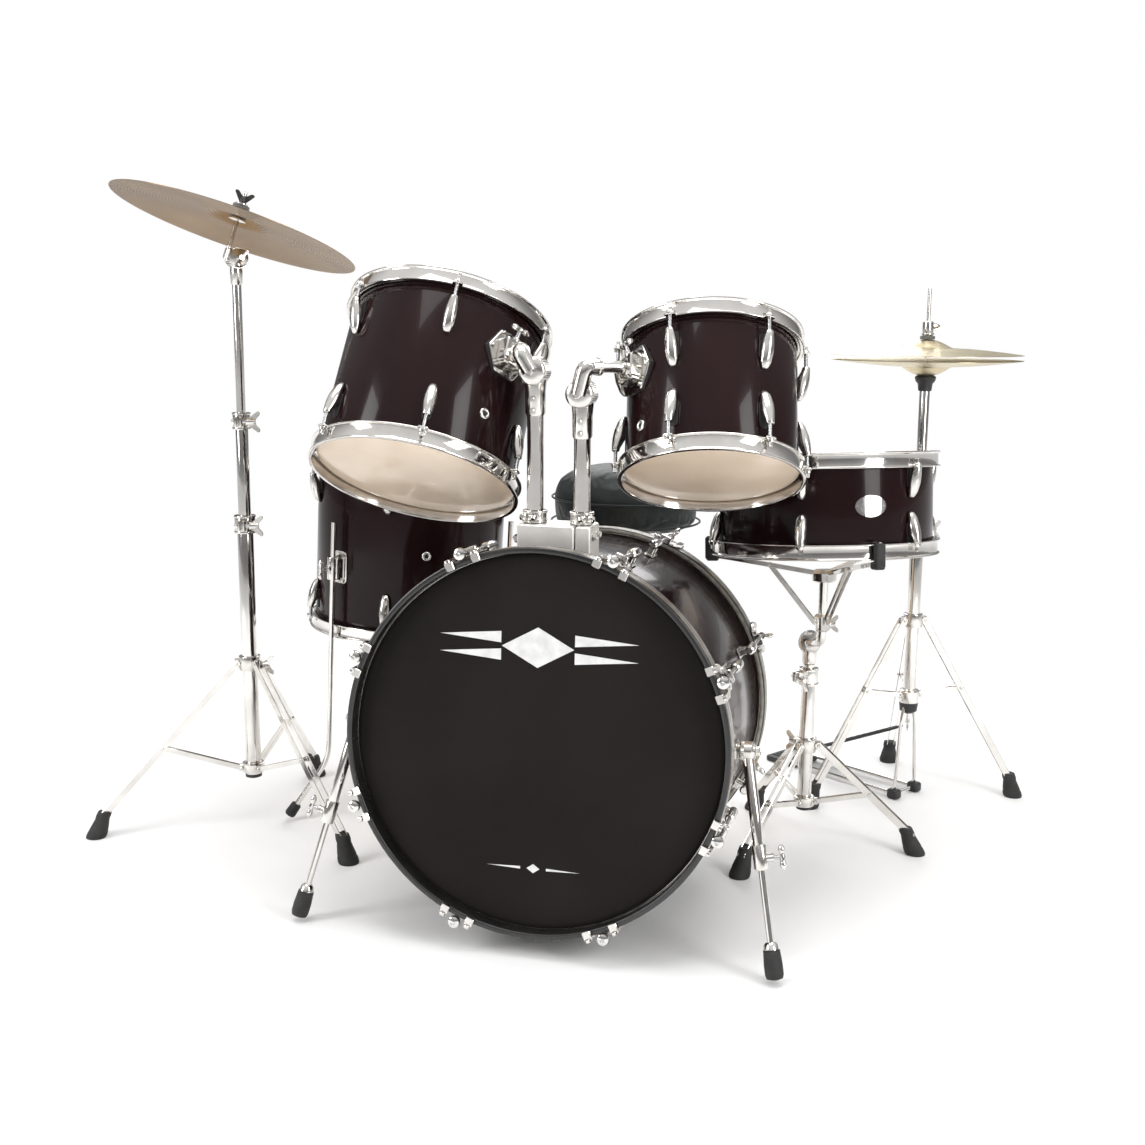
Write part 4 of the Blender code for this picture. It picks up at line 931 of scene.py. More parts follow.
def tom_bracket(side, drum):
    """Six-sided plate over a rubber gasket, with a bored block and its locking screw."""
    place = bracket_place(side, drum)
    shape = Shape()
    shape.slab(regular(6, 0.0405), 0.0062, RUBBER, place @ move(z=-0.0055), 0.0006)
    shape.slab(fillet(regular(6, 0.0395), 0.004, 3, True), 0.0034, CHROME, place @ move(z=0.0007), 0.0010)
    rotation = place.to_3x3()
    for i in range(6):
        if i % 3 != 1:
            hex_bolt(shape, place @ polar(60.0 * i, 0.0325, 0.0041), rotation.col[2], 0.0055)
    for sign in (-1.0, 1.0):
        shape.box((0.0105, 0.036, 0.020), CAST, place @ move(sign * 0.0165, 0.0, 0.0135), 0.004, 0.002)
        shape.box((0.036, 0.0095, 0.016), CAST, place @ move(0.0, sign * 0.0165, 0.0115), 0.003, 0.002)
    shape.ring(0.0103, 0.0150, 0.0040, 0.0235, CAST, place, 40, 0.0014)
    screw = place @ Vector((0.0, 0.0205, 0.0135))
    tee_bolt(shape, screw, rotation.col[1] + rotation.col[2] * 0.35, rotation.col[0], 0.016, 0.034)
    detail(side + "_tom_bracket", side + "_tom", shape)


# ---------------------------------------------------------------- spurs and floor-tom legs

def spur(side, drum):
    """Bracket on the shell, hub and tube, and the rod with its rubber tip."""
    sign = -1.0 if side == "left" else 1.0
    pivot = joint_point(side + "_spur_fold")
    along = joint_axis(side + "_spur_extend")
    across = Vector((sign, 0.0, 0.0))
    on_axis = drum.place.translation + drum.axis * (pivot - drum.place.translation).dot(drum.axis)
    outward = (pivot - on_axis).normalized()
    seat = frame_matrix(on_axis + outward * drum.radius, outward, drum.axis)
    bracket = Shape()
    bracket.slab(rectangle(0.058, 0.038, 0.008, 4), 0.0075, CAST, seat @ move(z=-0.0035), 0.0016)
    bracket.slab(rectangle(0.040, 0.026, 0.006, 4), 0.0080, CAST, seat @ move(z=0.0030), 0.0020)
    for x in (-0.022, 0.022):
        hex_bolt(bracket, seat @ Vector((x, 0.0, 0.0040)), outward, 0.0065)
    boss = Vector((seat.translation.x, pivot.y, pivot.z))
    bracket.rod(boss, pivot - across * 0.0088, 0.0125, CAST, 36, 0.0015)
    piece(side + "_spur_bracket", "kit", bracket)
    tube = Shape()
    inner_face = frame_matrix(pivot - across * 0.0085, across)
    toothed_disc(tube, inner_face, 0.014, 0.0050, 30)
    tube.turn([(0.0138, 0.0048), (0.0140, 0.0155), (0.0115, 0.0185)], CAST, inner_face, 36)
    turned = frame_matrix(pivot, along)
    tube.ring(0.0058, SPUR_TUBE_RADIUS, 0.0065, SPUR_LENGTH, CHROME, turned, 36, 0.0008)
    tube.ring(0.0060, 0.0108, SPUR_LENGTH - 0.036, SPUR_LENGTH - 0.001, CAST, turned, 36, 0.0014)
    hex_bolt(tube, pivot + across * 0.010, across, 0.012)
    level = (across - across.dot(along) * along).normalized()
    collar = pivot + along * (SPUR_LENGTH - 0.016)
    tube.rod(collar + level * 0.009, collar + level * 0.016, 0.0055, CAST, 20)
    tee_bolt(tube, collar + level * 0.015, level, along, 0.014, 0.036)
    detail(side + "_spur_tube", side + "_spur", tube)
    rod = Shape()
    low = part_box(side + "_spur_rod")[0]
    length = (pivot.z - low.z - 0.006) / -along.z
    foot = pivot + along * length
    rod.rod(pivot + along * 0.037, foot - along * 0.026, SPUR_ROD_RADIUS, CHROME, 28)
    sleeve = [(0.0070, -0.052), (0.0100, -0.049), (0.0112, -0.042)]
    rubber_tip = [(0.0122, -0.041), (0.0137, -0.020), (0.0135, -0.006), (0.0118, -0.001), (0.0060, 0.0010)]
    rod.turn(rubber_tip, RUBBER, frame_matrix(foot, along), 32)
    rod.turn(sleeve, CHROME, frame_matrix(foot, along), 32)
    detail(side + "_spur_rod", side + "_spur_leg", rod)


def floor_tom_legs(drum):
    """Cast brackets with locking screws, and the bent legs."""
    brackets = Shape()
    for number, angle in enumerate(FLOOR_LEG_ANGLES, start=1):
        outward = drum.place.to_3x3() @ polar(angle, 1.0)
        foot = drum.place @ polar(angle, drum.radius + 0.018, -0.035)
        here = frame_matrix(foot, drum.axis, outward)
        base = here @ move(-0.018) @ spin(90.0, "Y")
        brackets.slab(rectangle(0.060, 0.036, 0.010, 4), 0.0050, CAST, base @ move(z=-0.0020), 0.0014)
        for sign in (-1.0, 1.0):
            brackets.box((0.020, 0.0080, 0.040), CAST, here @ move(-0.0075, sign * 0.0095), 0.003, 0.002)
            hex_bolt(brackets, here @ Vector((-0.0150, 0.0, sign * 0.0245)), outward, 0.0060)
        brackets.ring(0.0056, 0.0105, -0.021, 0.021, CAST, here, 32, 0.0012)
        tee_bolt(brackets, here @ Vector((0.0100, 0.0, 0.0)), outward, drum.axis, 0.016, 0.036)
        top = drum.place @ polar(angle, drum.radius + 0.018, 0.050)
        knee = top - drum.axis * ((top.z - 0.120) / drum.axis.z)
        end = knee + polar(FLOOR_FOOT_ANGLES[number - 1], 0.075)
        end.z = 0.012
        leg = Shape()
        leg.tube(fillet([top, knee, end], 0.030, 8), FLOOR_LEG_RADIUS, CHROME, 24)
        along = (end - knee).normalized()
        leg.turn([(0.0078, -0.024), (0.0095, -0.022), (0.0105, -0.002), (0.0090, 0.0015)], RUBBER,
                 frame_matrix(end, along), 28)
        detail("floor_tom_leg_%d" % number, "floor_leg_%d" % number, leg)
    piece("floor_tom_brackets", "kit", brackets)


# ---------------------------------------------------------------- tripod stands

def tripod(shape, base, spec, outside, bottom, top):
    """Lower tube with its collars, doubled flat legs, braces and rubber feet."""
    shape.ring(outside - 0.0016, outside, bottom, top, CHROME, move(*base), 48, 0.0006)
    shape.turn([(outside - 0.004, bottom - 0.002), (outside + 0.0008, bottom),
                (outside + 0.0008, bottom + 0.005)],
               PLASTIC, move(*base), 32)
    for height, rise in ((spec["low"], 0.009), (spec["collar"], 0.013)):
        shape.ring(outside, outside + 0.0058, height - rise, height + rise, CAST, move(*base), 40, 0.0014)
    for angle in spec["legs"]:
        outward = polar(angle, 1.0)
        aside = Vector((-outward.y, outward.x, 0.0))
        shoulder = base + polar(angle, outside + 0.010, spec["collar"])
        ankle = base + polar(angle, spec["reach"] - 0.010, 0.036)
        hip = base + polar(angle, outside + 0.008, spec["low"])
        meet = shoulder.lerp(ankle, spec["share"])
        for sign in (-1.0, 1.0):
            shift = aside * sign * 0.0066
            shape.strip(shoulder + shift, ankle + shift * 0.55, 0.0125, 0.0018, aside, CHROME)
            shape.strip(hip + shift * 0.6, meet + shift * 0.6, 0.0090, 0.0016, aside, CHROME)
        for point, height in ((shoulder, 0.016), (hip, 0.012)):
            shape.box((0.016, 0.0080, height), CAST,
                      frame_matrix(point - outward * 0.004, (0, 0, 1), outward), 0.002)
        for point, reach in ((shoulder, 0.0096), (meet, 0.0096), (hip, 0.0076)):
            shape.rod(point - aside * reach, point + aside * reach, 0.0030, CAST, 16, 0.0010)
        slope = (spec["reach"] - outside - 0.010) / spec["collar"]
        rubber_foot(shape, base + polar(angle, spec["reach"]), -outward * slope * 0.45)


def lathed(radius, bell_radius, bell_height, bow, thickness, hole):
    """Cymbal section: shoulder, bell and a bow that flattens towards the rim."""
    top = [(hole, bow + bell_height)]
    for i in range(1, 9):
        t = i / 8.0
        top.append((hole + (bell_radius - hole) * t, bow + bell_height * math.cos(t * math.pi / 2.0) ** 1.15))
    for i in range(1, 15):
        t = i / 14.0
        top.append((bell_radius + (radius - bell_radius) * t, bow * (1.0 - t ** 1.6)))
    under = [(r, z - thickness * (1.0 if r < radius - 1e-6 else 0.45)) for r, z in reversed(top)]
    return top + under


def crash_stand():
    spec = CRASH_TRIPOD
    base = middle("crash_middle_tube")
    base.z = 0.0
    tops = [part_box(node)[1].z for node in ("crash_base", "crash_middle_tube")]
    lower = Shape()
    tripod(lower, base, spec, CRASH_TUBES[0], 0.092, tops[0] - 0.001)
    clamp(lower, base + Vector((0.0, 0.0, tops[0] - 0.033)), CRASH_TUBES[0], CLAMP_ANGLE, 0.032)
    wing_nut(lower, base + polar(20.0, 0.021, spec["collar"] - 0.006), polar(20.0, 1.0), (0.0, 0.0, 1.0),
             0.036)
    detail("crash_base", "kit", lower)
    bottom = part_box("crash_middle_tube")[0].z
    tube = Shape()
    tube.ring(0.0095, CRASH_TUBES[1], bottom, tops[1] - 0.001, CHROME, move(*base), 40, 0.0006)
    clamp(tube, base + Vector((0.0, 0.0, tops[1] - 0.031)), CRASH_TUBES[1], CLAMP_ANGLE, 0.030)
    detail("crash_middle_tube", "crash_middle", tube)
    pivot, hinge = joint_point("crash_tilt"), -joint_axis("crash_tilt")
    upper = Shape()
    neck = Vector((base.x, base.y, pivot.z - 0.016))
    upper.rod(base + Vector((0.0, 0.0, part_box("crash_upper_tube")[0].z)), neck, CRASH_TUBES[2], CHROME, 36)
    upper.turn([(0.0083, -0.030), (0.0100, -0.027), (0.0108, -0.006), (0.0098, 0.006)], CAST, move(*neck), 32)
    toothed_disc(upper, frame_matrix(pivot - hinge * 0.0172, hinge), 0.018, 0.0168, 36)
    hex_bolt(upper, pivot - hinge * 0.0170, -hinge, 0.010)
    detail("crash_upper_tube", "crash_upper", upper)
    crash_head(pivot, hinge)


def crash_head(pivot, hinge):
    """Tilter knuckle with its cymbal rod, cup, felts and wing nut; and the cymbal."""
    place = frame_matrix(joint_point("crash_spin"), joint_axis("crash_spin"))
    along = joint_axis("crash_spin")
    centre = place.translation
    foot = pivot + hinge * 0.006
    foot = centre + along * (foot - centre).dot(along)
    shape = Shape()
    toothed_disc(shape, frame_matrix(pivot, hinge), 0.018, 0.0060, 36)
    shape.turn([(0.0170, 0.0060), (0.0165, 0.0100), (0.0120, 0.0120)], CAST, frame_matrix(pivot, hinge), 36)
    wing_nut(shape, pivot + hinge * 0.0115, hinge, along + Vector((0.5, 0.0, 0.0)), 0.036)
    shape.box((0.0130, 0.0110, 0.020), CAST, frame_matrix(foot, along, pivot - foot) @ move(0.002), 0.003,
              0.002)
    shape.rod(foot - along * 0.014, centre + along * 0.067, 0.0039, CHROME, 24)
    bell = CRASH_BELL["bell_height"] + CRASH_BELL["bow"]
    at = [place @ move(z=bell + offset) for offset in (-0.019, -0.0125, 0.0012, 0.0100, 0.0122)]
    shape.turn([(0.0060, 0.0), (0.0150, 0.0015), (0.0150, 0.0035), (0.0130, 0.0060)], CAST, at[0], 32)
    shape.turn([(0.0125, 0.0), (0.0140, 0.001), (0.0138, 0.0065), (0.0120, 0.0078)], FELT, at[1], 32)
    shape.turn([(0.0130, 0.0), (0.0148, 0.0012), (0.0146, 0.0080), (0.0125, 0.0092)], FELT, at[2], 32)
    shape.turn([(0.0110, 0.0), (0.0110, 0.0022)], CAST, at[3], 32)
    wing_nut(shape, at[4].translation, along, place.to_3x3().col[0] + place.to_3x3().col[1] * 0.6, 0.034,
             PLASTIC)
    detail("crash_tilter", "crash_head", shape)
    cymbal = Shape()
    cymbal.turn(lathed(**CRASH_BELL), BRONZE, place, 160, hollow=True)
    detail("crash_cymbal", "crash", cymbal, move(*centre), 60.0)


def hihat_stand():
    spec = HIHAT_TRIPOD
    base = middle("hihat_pull_rod")
    base.z = 0.0
    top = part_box("hihat_base")[1].z
    angle = HIHAT_PEDAL_ANGLE
    forward, side = polar(angle, 1.0), polar(angle + 90.0, 1.0)
    lower = Shape()
    tripod(lower, base, spec, STAND_TUBE, 0.184, top - 0.001)
    clamp(lower, base + UP * (top - 0.032), STAND_TUBE, CLAMP_ANGLE, 0.030)
    lower.turn([(0.0195, 0.194), (0.0205, 0.203), (0.0195, 0.216), (0.0140, 0.221)], CHROME, move(*base), 40)
    lower.turn([(0.0090, 0.171), (0.0165, 0.176), (0.0192, 0.194)], PLASTIC, move(*base), 40)
    for sign in (-1.0, 1.0):
        offset = side * sign * 0.034
        start = base + UP * 0.192 + side * sign * 0.012
        toe = base + UP * 0.010 + offset
        heel = base + forward * 0.262 + UP * 0.010 + offset
        lower.tube(fillet([start, start + side * sign * 0.010 - UP * 0.030, toe, heel], 0.020, 6), 0.0034,
                   CHROME, 14)
        lower.box((0.024, 0.020, 0.019), PLASTIC, frame_matrix(toe, UP, forward), 0.005, 0.003)
    lower.rod(base + UP * 0.010 - side * 0.034, base + UP * 0.010 + side * 0.034, 0.0036, CHROME, 16)
    heel_plate = frame_matrix(base + forward * 0.290 + UP * 0.0060, UP, forward)
    lower.box((0.080, 0.084, 0.0100), PLASTIC, heel_plate, 0.010, 0.002)
    for y in (-0.024, -0.012, 0.0, 0.012, 0.024):
        lower.box((0.046, 0.0040, 0.0016), RUBBER, heel_plate @ move(0.010, y, 0.0056), 0.0018, 0.0006)
    detail("hihat_base", "kit", lower)
    low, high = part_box("hihat_upper_tube")
    upper = Shape()
    upper.ring(0.0060, 0.0095, low.z, high.z - 0.006, CHROME, move(*base), 36, 0.0006)
    cup = [(0.0085, -0.030), (0.0125, -0.028), (0.0140, -0.015), (0.0185, -0.010), (0.0200, -0.003),
           (0.0175, 0.0),
           (0.0085, 0.0)]
    upper.turn(cup, PLASTIC, move(base.x, base.y, high.z + 0.0004), 40, hollow=True)
    upper.ring(0.0050, 0.0155, high.z, high.z + 0.006, FELT, move(*base), 36, 0.0012)
    detail("hihat_upper_tube", "hihat_upper", upper)
    hihat_pair(base)


def hihat_pair(base):
    """Matched cymbals, clutch, pull rod with its chain, and the footboard."""
    bottom = Matrix.Translation((base.x, base.y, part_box("hihat_bottom_cymbal")[1].z)) @ spin(180.0, "X")
    top = Matrix.Translation((base.x, base.y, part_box("hihat_bottom_cymbal")[1].z + 0.0106))
    for node, body, place, hole in (("hihat_bottom_cymbal", "hihat_upper", bottom, 0.0146),
                                    ("hihat_top_cymbal", "hihat_top", top, 0.0050)):
        shape = Shape()
        shape.turn(lathed(0.1778, 0.048, 0.016, 0.012, 0.0013, hole), BRASS, place, 144, hollow=True)
        if body == "hihat_top":
            crown = top.translation + UP * 0.028
            shape.ring(0.0036, 0.0140, crown.z + 0.0002, crown.z + 0.0070, FELT, move(base.x, base.y), 36,
                       0.0014)
            shape.ring(0.0036, 0.0100, crown.z + 0.0070, crown.z + 0.0340, CAST, move(base.x, base.y), 36,
                       0.0014)
            shape.ring(0.0036, 0.0120, crown.z + 0.0090, crown.z + 0.0120, CAST, move(base.x, base.y), 36,
                       0.0008)
            wing_nut(shape, crown + UP * 0.026 + polar(20.0, 0.009), polar(20.0, 1.0), UP, 0.032)
        detail(node, body, shape, place, 60.0)
    low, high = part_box("hihat_pull_rod")
    rod = Shape()
    rod.rod(base + UP * (low.z + 0.002), base + UP * high.z, 0.0032, CHROME, 24)
    for i in range(3):
        link = frame_matrix(base + UP * (low.z - 0.013 + i * 0.006), polar(90.0 * (i % 2), 1.0), UP)
        rod.slab(rectangle(0.0090, 0.0050, 0.0024, 4), 0.0026, THREAD, link @ move(z=-0.0013), 0.0005)
    rod.turn([(0.0040, 0.0), (0.0052, 0.002), (0.0044, 0.008)], CAST, move(base.x, base.y, low.z), 24)
    detail("hihat_pull_rod", "hihat_rod", rod)
    heel = joint_point("hihat_pedal_press")
    toe = base + polar(HIHAT_PEDAL_ANGLE, 0.022, 0.135)
    footboard("hihat_footboard", "hihat_pedal", heel, toe, 0.072, joint_axis("hihat_pedal_press"),
              PLASTIC)


def footboard(node, body, heel, toe, width, axis, material):
    """Ribbed foot plate, broader at the heel, with its hinge barrel."""
    length = (toe - heel).length
    level = axis.normalized()
    normal = (toe - heel).normalized().cross(level)
    if normal.z < 0.0:
        normal = -normal
    place = frame_matrix(heel, normal, toe - heel)
    shape = Shape()
    half = width / 2.0
    outline = fillet([(0.010, -half), (length * 0.40, -half), (length * 0.80, -half * 0.80),
                      (length, -half * 0.62),
                      (length, half * 0.62), (length * 0.80, half * 0.80), (length * 0.40, half), (0.010, half)],
                     0.008, 4, True)
    shape.slab(outline, 0.0045, material, place @ move(z=-0.0015), 0.0012)
    for i in range(9):
        x = length * (0.34 + 0.068 * i)
        wide = half * (1.44 - 0.07 * i)
        shape.box((0.0050, wide, 0.0024), RUBBER if material is CHROME else material,
                  place @ move(x, 0.0, 0.0036),
                  0.0016, 0.0008)
    for sign in (-1.0, 1.0):
        shape.strip(place @ Vector((length * 0.18, sign * half * 0.62, 0.0034)),
                    place @ Vector((length * 0.94, sign * half * 0.44,
                                    0.0034)), 0.0034, 0.0020, normal, material)
    shape.rod(heel - level * half, heel + level * half, 0.0055, CHROME, 24)
    detail(node, body, shape, place)


# ---------------------------------------------------------------- snare stand

def snare_stand(drum):
    spec = SNARE_TRIPOD
    base = middle("snare_upper_tube")
    base.z = 0.0
    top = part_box("snare_base")[1].z
    lower = Shape()
    tripod(lower, base, spec, STAND_TUBE, 0.070, top - 0.001)
    clamp(lower, base + UP * (top - 0.032), STAND_TUBE, 215.0, 0.030)
    wing_nut(lower, base + polar(150.0, 0.020, spec["collar"]), polar(150.0, 1.0), UP, 0.036)
    detail("snare_base", "kit", lower)
    pivot = joint_point("snare_tilt")
    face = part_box("snare_upper_tube")
    upper = Shape()
    upper.rod(base + UP * face[0].z, Vector((base.x, base.y, pivot.z - 0.014)), 0.0100, CHROME, 36)
    upper.turn([(0.0104, -0.040), (0.0125, -0.037), (0.0128, -0.016), (0.0115, -0.006)], CAST,
               move(base.x, base.y, pivot.z), 32)
    toothed_disc(upper, frame_matrix((base.x, face[1].y, pivot.z), TO_AUDIENCE), 0.020,
                 face[1].y - face[0].y, 36)
    wing_nut(upper, (base.x, face[1].y - 0.001, pivot.z), (0.0, 1.0, 0.0), (1.0, 0.0, 0.6), 0.040)
    detail("snare_upper_tube", "snare_column", upper)
    basket(drum, pivot)


def basket(drum, pivot):
    """Ratchet half, upright stem with its adjuster, and three folding arms with rubber grips."""
    hub = drum.place.translation - drum.axis * 0.125
    start = pivot - Vector((0.0, 0.0065, 0.0))
    crook = Vector((hub.x, hub.y, pivot.z + 0.020))
    shape = Shape()
    toothed_disc(shape, frame_matrix(pivot, TO_AUDIENCE), 0.020, 0.0060, 36)
    shape.turn([(0.0190, 0.006), (0.0185, 0.0105), (0.0130, 0.0130)], CAST, frame_matrix(pivot, TO_AUDIENCE),
               36)
    hex_bolt(shape, pivot - Vector((0.0, 0.0130, 0.0)), TO_AUDIENCE, 0.010)
    shape.tube(fillet([start, crook, hub], 0.018, 6), 0.0078, CHROME, 24)
    place = frame_matrix(hub, drum.axis)
    shape.turn([(0.0150, -0.010), (0.0205, -0.007), (0.0210, 0.006), (0.0150, 0.012)], CAST, place, 40)
    slider = crook.lerp(hub, 0.30)
    sleeve = frame_matrix(slider, drum.axis)
    shape.turn([(0.0085, -0.016), (0.0125, -0.013), (0.0135, 0.010), (0.0100, 0.014)], CAST, sleeve, 36)
    wing_nut(shape, slider - drum.axis * 0.004 + polar(30.0, 0.011), polar(30.0, 1.0), drum.axis, 0.030)
    rim = drum.radius + 0.0110
    for angle in BASKET_ANGLES:
        aside = drum.place.to_3x3() @ polar(angle + 90.0, 1.0)
        inner = place @ polar(angle, 0.014, 0.006)
        elbow = place @ polar(angle, rim - 0.035, 0.030)
        outer = place @ polar(angle, rim + 0.005, 0.036)
        tip = place @ polar(angle, rim + 0.006, 0.066)
        bent = fillet([inner, elbow, outer, tip], 0.014, 5)
        for begin, end in zip(bent, bent[1:]):
            shape.strip(begin, end, 0.0080, 0.0048, aside, CHROME)
        low_end = sleeve @ polar(angle, 0.013, 0.0)
        link = inner.lerp(elbow, 0.56)
        for sign in (-1.0, 1.0):
            shift = aside * sign * 0.0042
            shape.strip(low_end + shift, link + shift, 0.0075, 0.0016, aside, CHROME)
        shape.rod(link - aside * 0.0065, link + aside * 0.0065, 0.0025, CAST, 14)
        grip = place @ spin(angle) @ move(rim + 0.0065, 0.0, 0.048)
        shape.box((0.0130, 0.0165, 0.040), RUBBER, grip, 0.004, 0.003)
        shape.box((0.0200, 0.0165, 0.012), RUBBER, grip @ move(-0.006, 0.0, -0.016), 0.003, 0.002)
    detail("snare_basket", "snare", shape)


# ---------------------------------------------------------------- throne

def swell(item, limit, floor_height, frames=20):
    """Round out a closed form with air pressure; points move no further than the limit."""
    remesh = item.modifiers.new("remesh", "REMESH")
    remesh.mode = "VOXEL"
    remesh.voxel_size = 0.005
    graph = bpy.context.evaluated_depsgraph_get()
    item.data = bpy.data.meshes.new_from_object(item.evaluated_get(graph))
    item.modifiers.clear()
    rest = [v.co.copy() for v in item.data.vertices]
    cloth = item.modifiers.new("cloth", "CLOTH")
    cloth.settings.quality = 6
    cloth.settings.mass = 0.3
    cloth.settings.use_pressure = True
    cloth.settings.uniform_pressure_force = 4.0
    cloth.settings.effector_weights.gravity = 0.0
    cloth.point_cache.frame_start = 1
    cloth.point_cache.frame_end = frames
    for number in range(1, frames + 1):
        bpy.context.scene.frame_set(number)
    swollen = item.evaluated_get(bpy.context.evaluated_depsgraph_get()).to_mesh()
    moved = [v.co.copy() for v in swollen.vertices]
    item.modifiers.clear()
    bpy.context.scene.frame_set(1)
    for vertex, before, after in zip(item.data.vertices, rest, moved):
        step = after - before
        if step.length > limit:
            step *= limit / step.length
        vertex.co = before + step
        vertex.co.z = max(vertex.co.z, floor_height)


def throne():
    spec = THRONE_TRIPOD
    low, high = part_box("throne_seat")
    base = Vector(((low.x + high.x) / 2.0, (low.y + high.y) / 2.0, 0.0))
    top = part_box("throne_base")[1].z
    lower = Shape()
    tripod(lower, base, spec, THRONE_TUBE, 0.085, top - 0.001)
    clamp(lower, base + UP * (top - 0.032), THRONE_TUBE, -40.0, 0.030)
    detail("throne_base", "kit", lower)
    post_low, post_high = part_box("throne_post")
    post = Shape()
    post.rod(base + UP * post_low.z, base + UP * (post_high.z - 0.006), 0.0127, CHROME, 40, 0.001)
    post.turn([(0.0150, -0.050), (0.0185, -0.047), (0.0185, -0.010), (0.0210, -0.005)], CAST,
              move(base.x, base.y, post_high.z), 40)
    plate = fillet(regular(4, 0.066, math.radians(45.0)), 0.022, 5, True)
    post.slab(plate, 0.0050, CAST, move(base.x, base.y, post_high.z - 0.0055), 0.0010)
    for angle in (45.0, 135.0, 225.0, 315.0):
        hex_bolt(post, base + polar(angle, 0.050, post_high.z - 0.0055), -UP, 0.007)
    detail("throne_post", "throne_column", post)
    seat = Shape()
    inner = (high.x - low.x) / 2.0 - 0.010
    rise = high.z - low.z - 0.008
    outline = [(0.020, 0.004), (inner - 0.012, 0.004), (inner - 0.002, 0.012), (inner, 0.024),
               (inner, rise * 0.56),
               (inner - 0.010, rise * 0.80), (inner - 0.034, rise * 0.93), (inner * 0.5, rise * 0.99), (0.020, rise)]
    place = move(base.x, base.y, low.z)
    seat.turn(outline, VINYL, place, 72)
    cushion = piece("throne_cushion", "throne_top", seat, place, ("throne_seat",), 60.0)
    swell(cushion, 0.008, 0.0006)
    cushion.data.shade_smooth()
    smooth = cushion.modifiers.new("subdivision", "SUBSURF")
    smooth.levels = smooth.render_levels = 1
    trim = Shape()
    for height, radius in ((rise * 0.53, inner + 0.0048), (0.0165, inner + 0.0060)):
        ring = [base + polar(5.0 * i, radius, low.z + height) for i in range(72)]
        rings = []
        for i, point in enumerate(ring):
            outward = polar(5.0 * i, 1.0)
            rings.append([point + outward * 0.0022 * math.cos(TURN * s / 10) + UP * 0.0022 * math.sin(TURN * s / 10)
                          for s in range(10)])
        trim.loft(rings, VINYL, closed=True)
    piece("throne_piping", "throne_top", trim)


# ---------------------------------------------------------------- bass pedal

def bass_pedal():
    axle, heel = joint_point("beater_swing"), joint_point("bass_pedal_press")
    low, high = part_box("pedal_frame")
    frame_shape = Shape()
    for sign in (-1.0, 1.0):
        rail = frame_matrix((axle.x + sign * 0.036, (low.y + high.y) / 2.0, 0.0032), (0, 0, 1))
        frame_shape.box((0.014, high.y - low.y - 0.004, 0.006), CHROME, rail, 0.003, 0.001)
        post = fillet([(-0.016, 0.004), (0.016, 0.004), (0.009, 0.060), (0.011, axle.z + 0.012),
                       (-0.011, axle.z + 0.012), (-0.009, 0.060)], 0.006, 4, True)
        side = Matrix.Translation((axle.x + sign * 0.050 - 0.005, axle.y, 0.0)) @ spin(90.0) @ spin(90.0, "X")
        frame_shape.slab(post, 0.010, CAST, side, 0.0018)
        frame_shape.box((0.024, 0.032, 0.008), CAST, move(axle.x + sign * 0.047, axle.y, 0.0052), 0.004,
                        0.002)
        frame_shape.ring(0.0057, 0.0115, -0.0065, 0.0065, CAST,
                         frame_matrix((axle.x + sign * 0.050, axle.y, axle.z), (1, 0, 0)), 32, 0.0010)
        frame_shape.box((0.0080, 0.018, 0.034), CAST, move(axle.x + sign * 0.0415, heel.y, 0.021), 0.003,
                        0.002)
        frame_shape.rod((axle.x + sign * 0.056, axle.y, 0.086), (axle.x + sign * 0.062, axle.y, 0.086),
                        0.004, THREAD, 16)
    frame_shape.box((0.086, 0.060, 0.005), CHROME, move(axle.x, high.y - 0.031, 0.0036), 0.008, 0.0012)
    frame_shape.box((0.080, 0.030, 0.006), CHROME, move(axle.x, low.y + 0.016, 0.0040), 0.004, 0.0012)
    frame_shape.box((0.034, 0.026, 0.016), CAST, move(axle.x, low.y + 0.020, 0.0130), 0.004, 0.002)
    wing_nut(frame_shape, (axle.x, low.y + 0.034, 0.014), (0.0, 1.0, 0.25), (1.0, 0.0, 0.0), 0.036)
    detail("pedal_frame", "kit", frame_shape)
    toe = Vector((axle.x, axle.y + 0.034, 0.096))
    footboard("pedal_footboard", "pedal_board", heel, toe, 0.068, Vector((1.0, 0.0, 0.0)), CHROME)
    beater(axle)


def beater(axle):
    """Axle, cam, rod, and the felt head that strikes the skin."""
    lean = math.radians(38.0)
    along = Vector((0.0, math.sin(lean), math.cos(lean)))
    cross = Vector((0.0, math.cos(lean), -math.sin(lean)))
    across = Vector((1.0, 0.0, 0.0))
    shape = Shape()
    shape.rod(axle - across * 0.060, axle + across * 0.060, 0.0051, CHROME, 28)
    shape.ring(0.0045, 0.0165, -0.0045, 0.0045, CAST, frame_matrix(axle, across), 40, 0.0010)
    for sign in (-1.0, 1.0):
        shape.ring(0.0045, 0.0185, -0.0012, 0.0012, CHROME,
                   frame_matrix(axle + across * sign * 0.0070, across), 40, 0.0005)
    shape.box((0.014, 0.014, 0.016), CAST, frame_matrix(axle + along * 0.018, along, across), 0.003, 0.002)
    hex_bolt(shape, axle + along * 0.018 + cross * 0.007, cross, 0.007)
    tip = axle + along * 0.185
    shape.rod(axle + along * 0.010, tip + along * 0.004, 0.0042, CHROME, 24)
    felt_outline = [(0.0120, -0.024), (0.0195, -0.022), (0.0228, -0.016), (0.0230, 0.010), (0.0215, 0.019),
                    (0.0150, 0.0235)]
    shape.turn(felt_outline, FELT, frame_matrix(tip, -cross), 48)
    shape.turn([(0.0110, -0.0262), (0.0110, -0.0225)], CAST, frame_matrix(tip, -cross), 32)
    detail("pedal_beater", "beater", shape)


# ---------------------------------------------------------------- studio

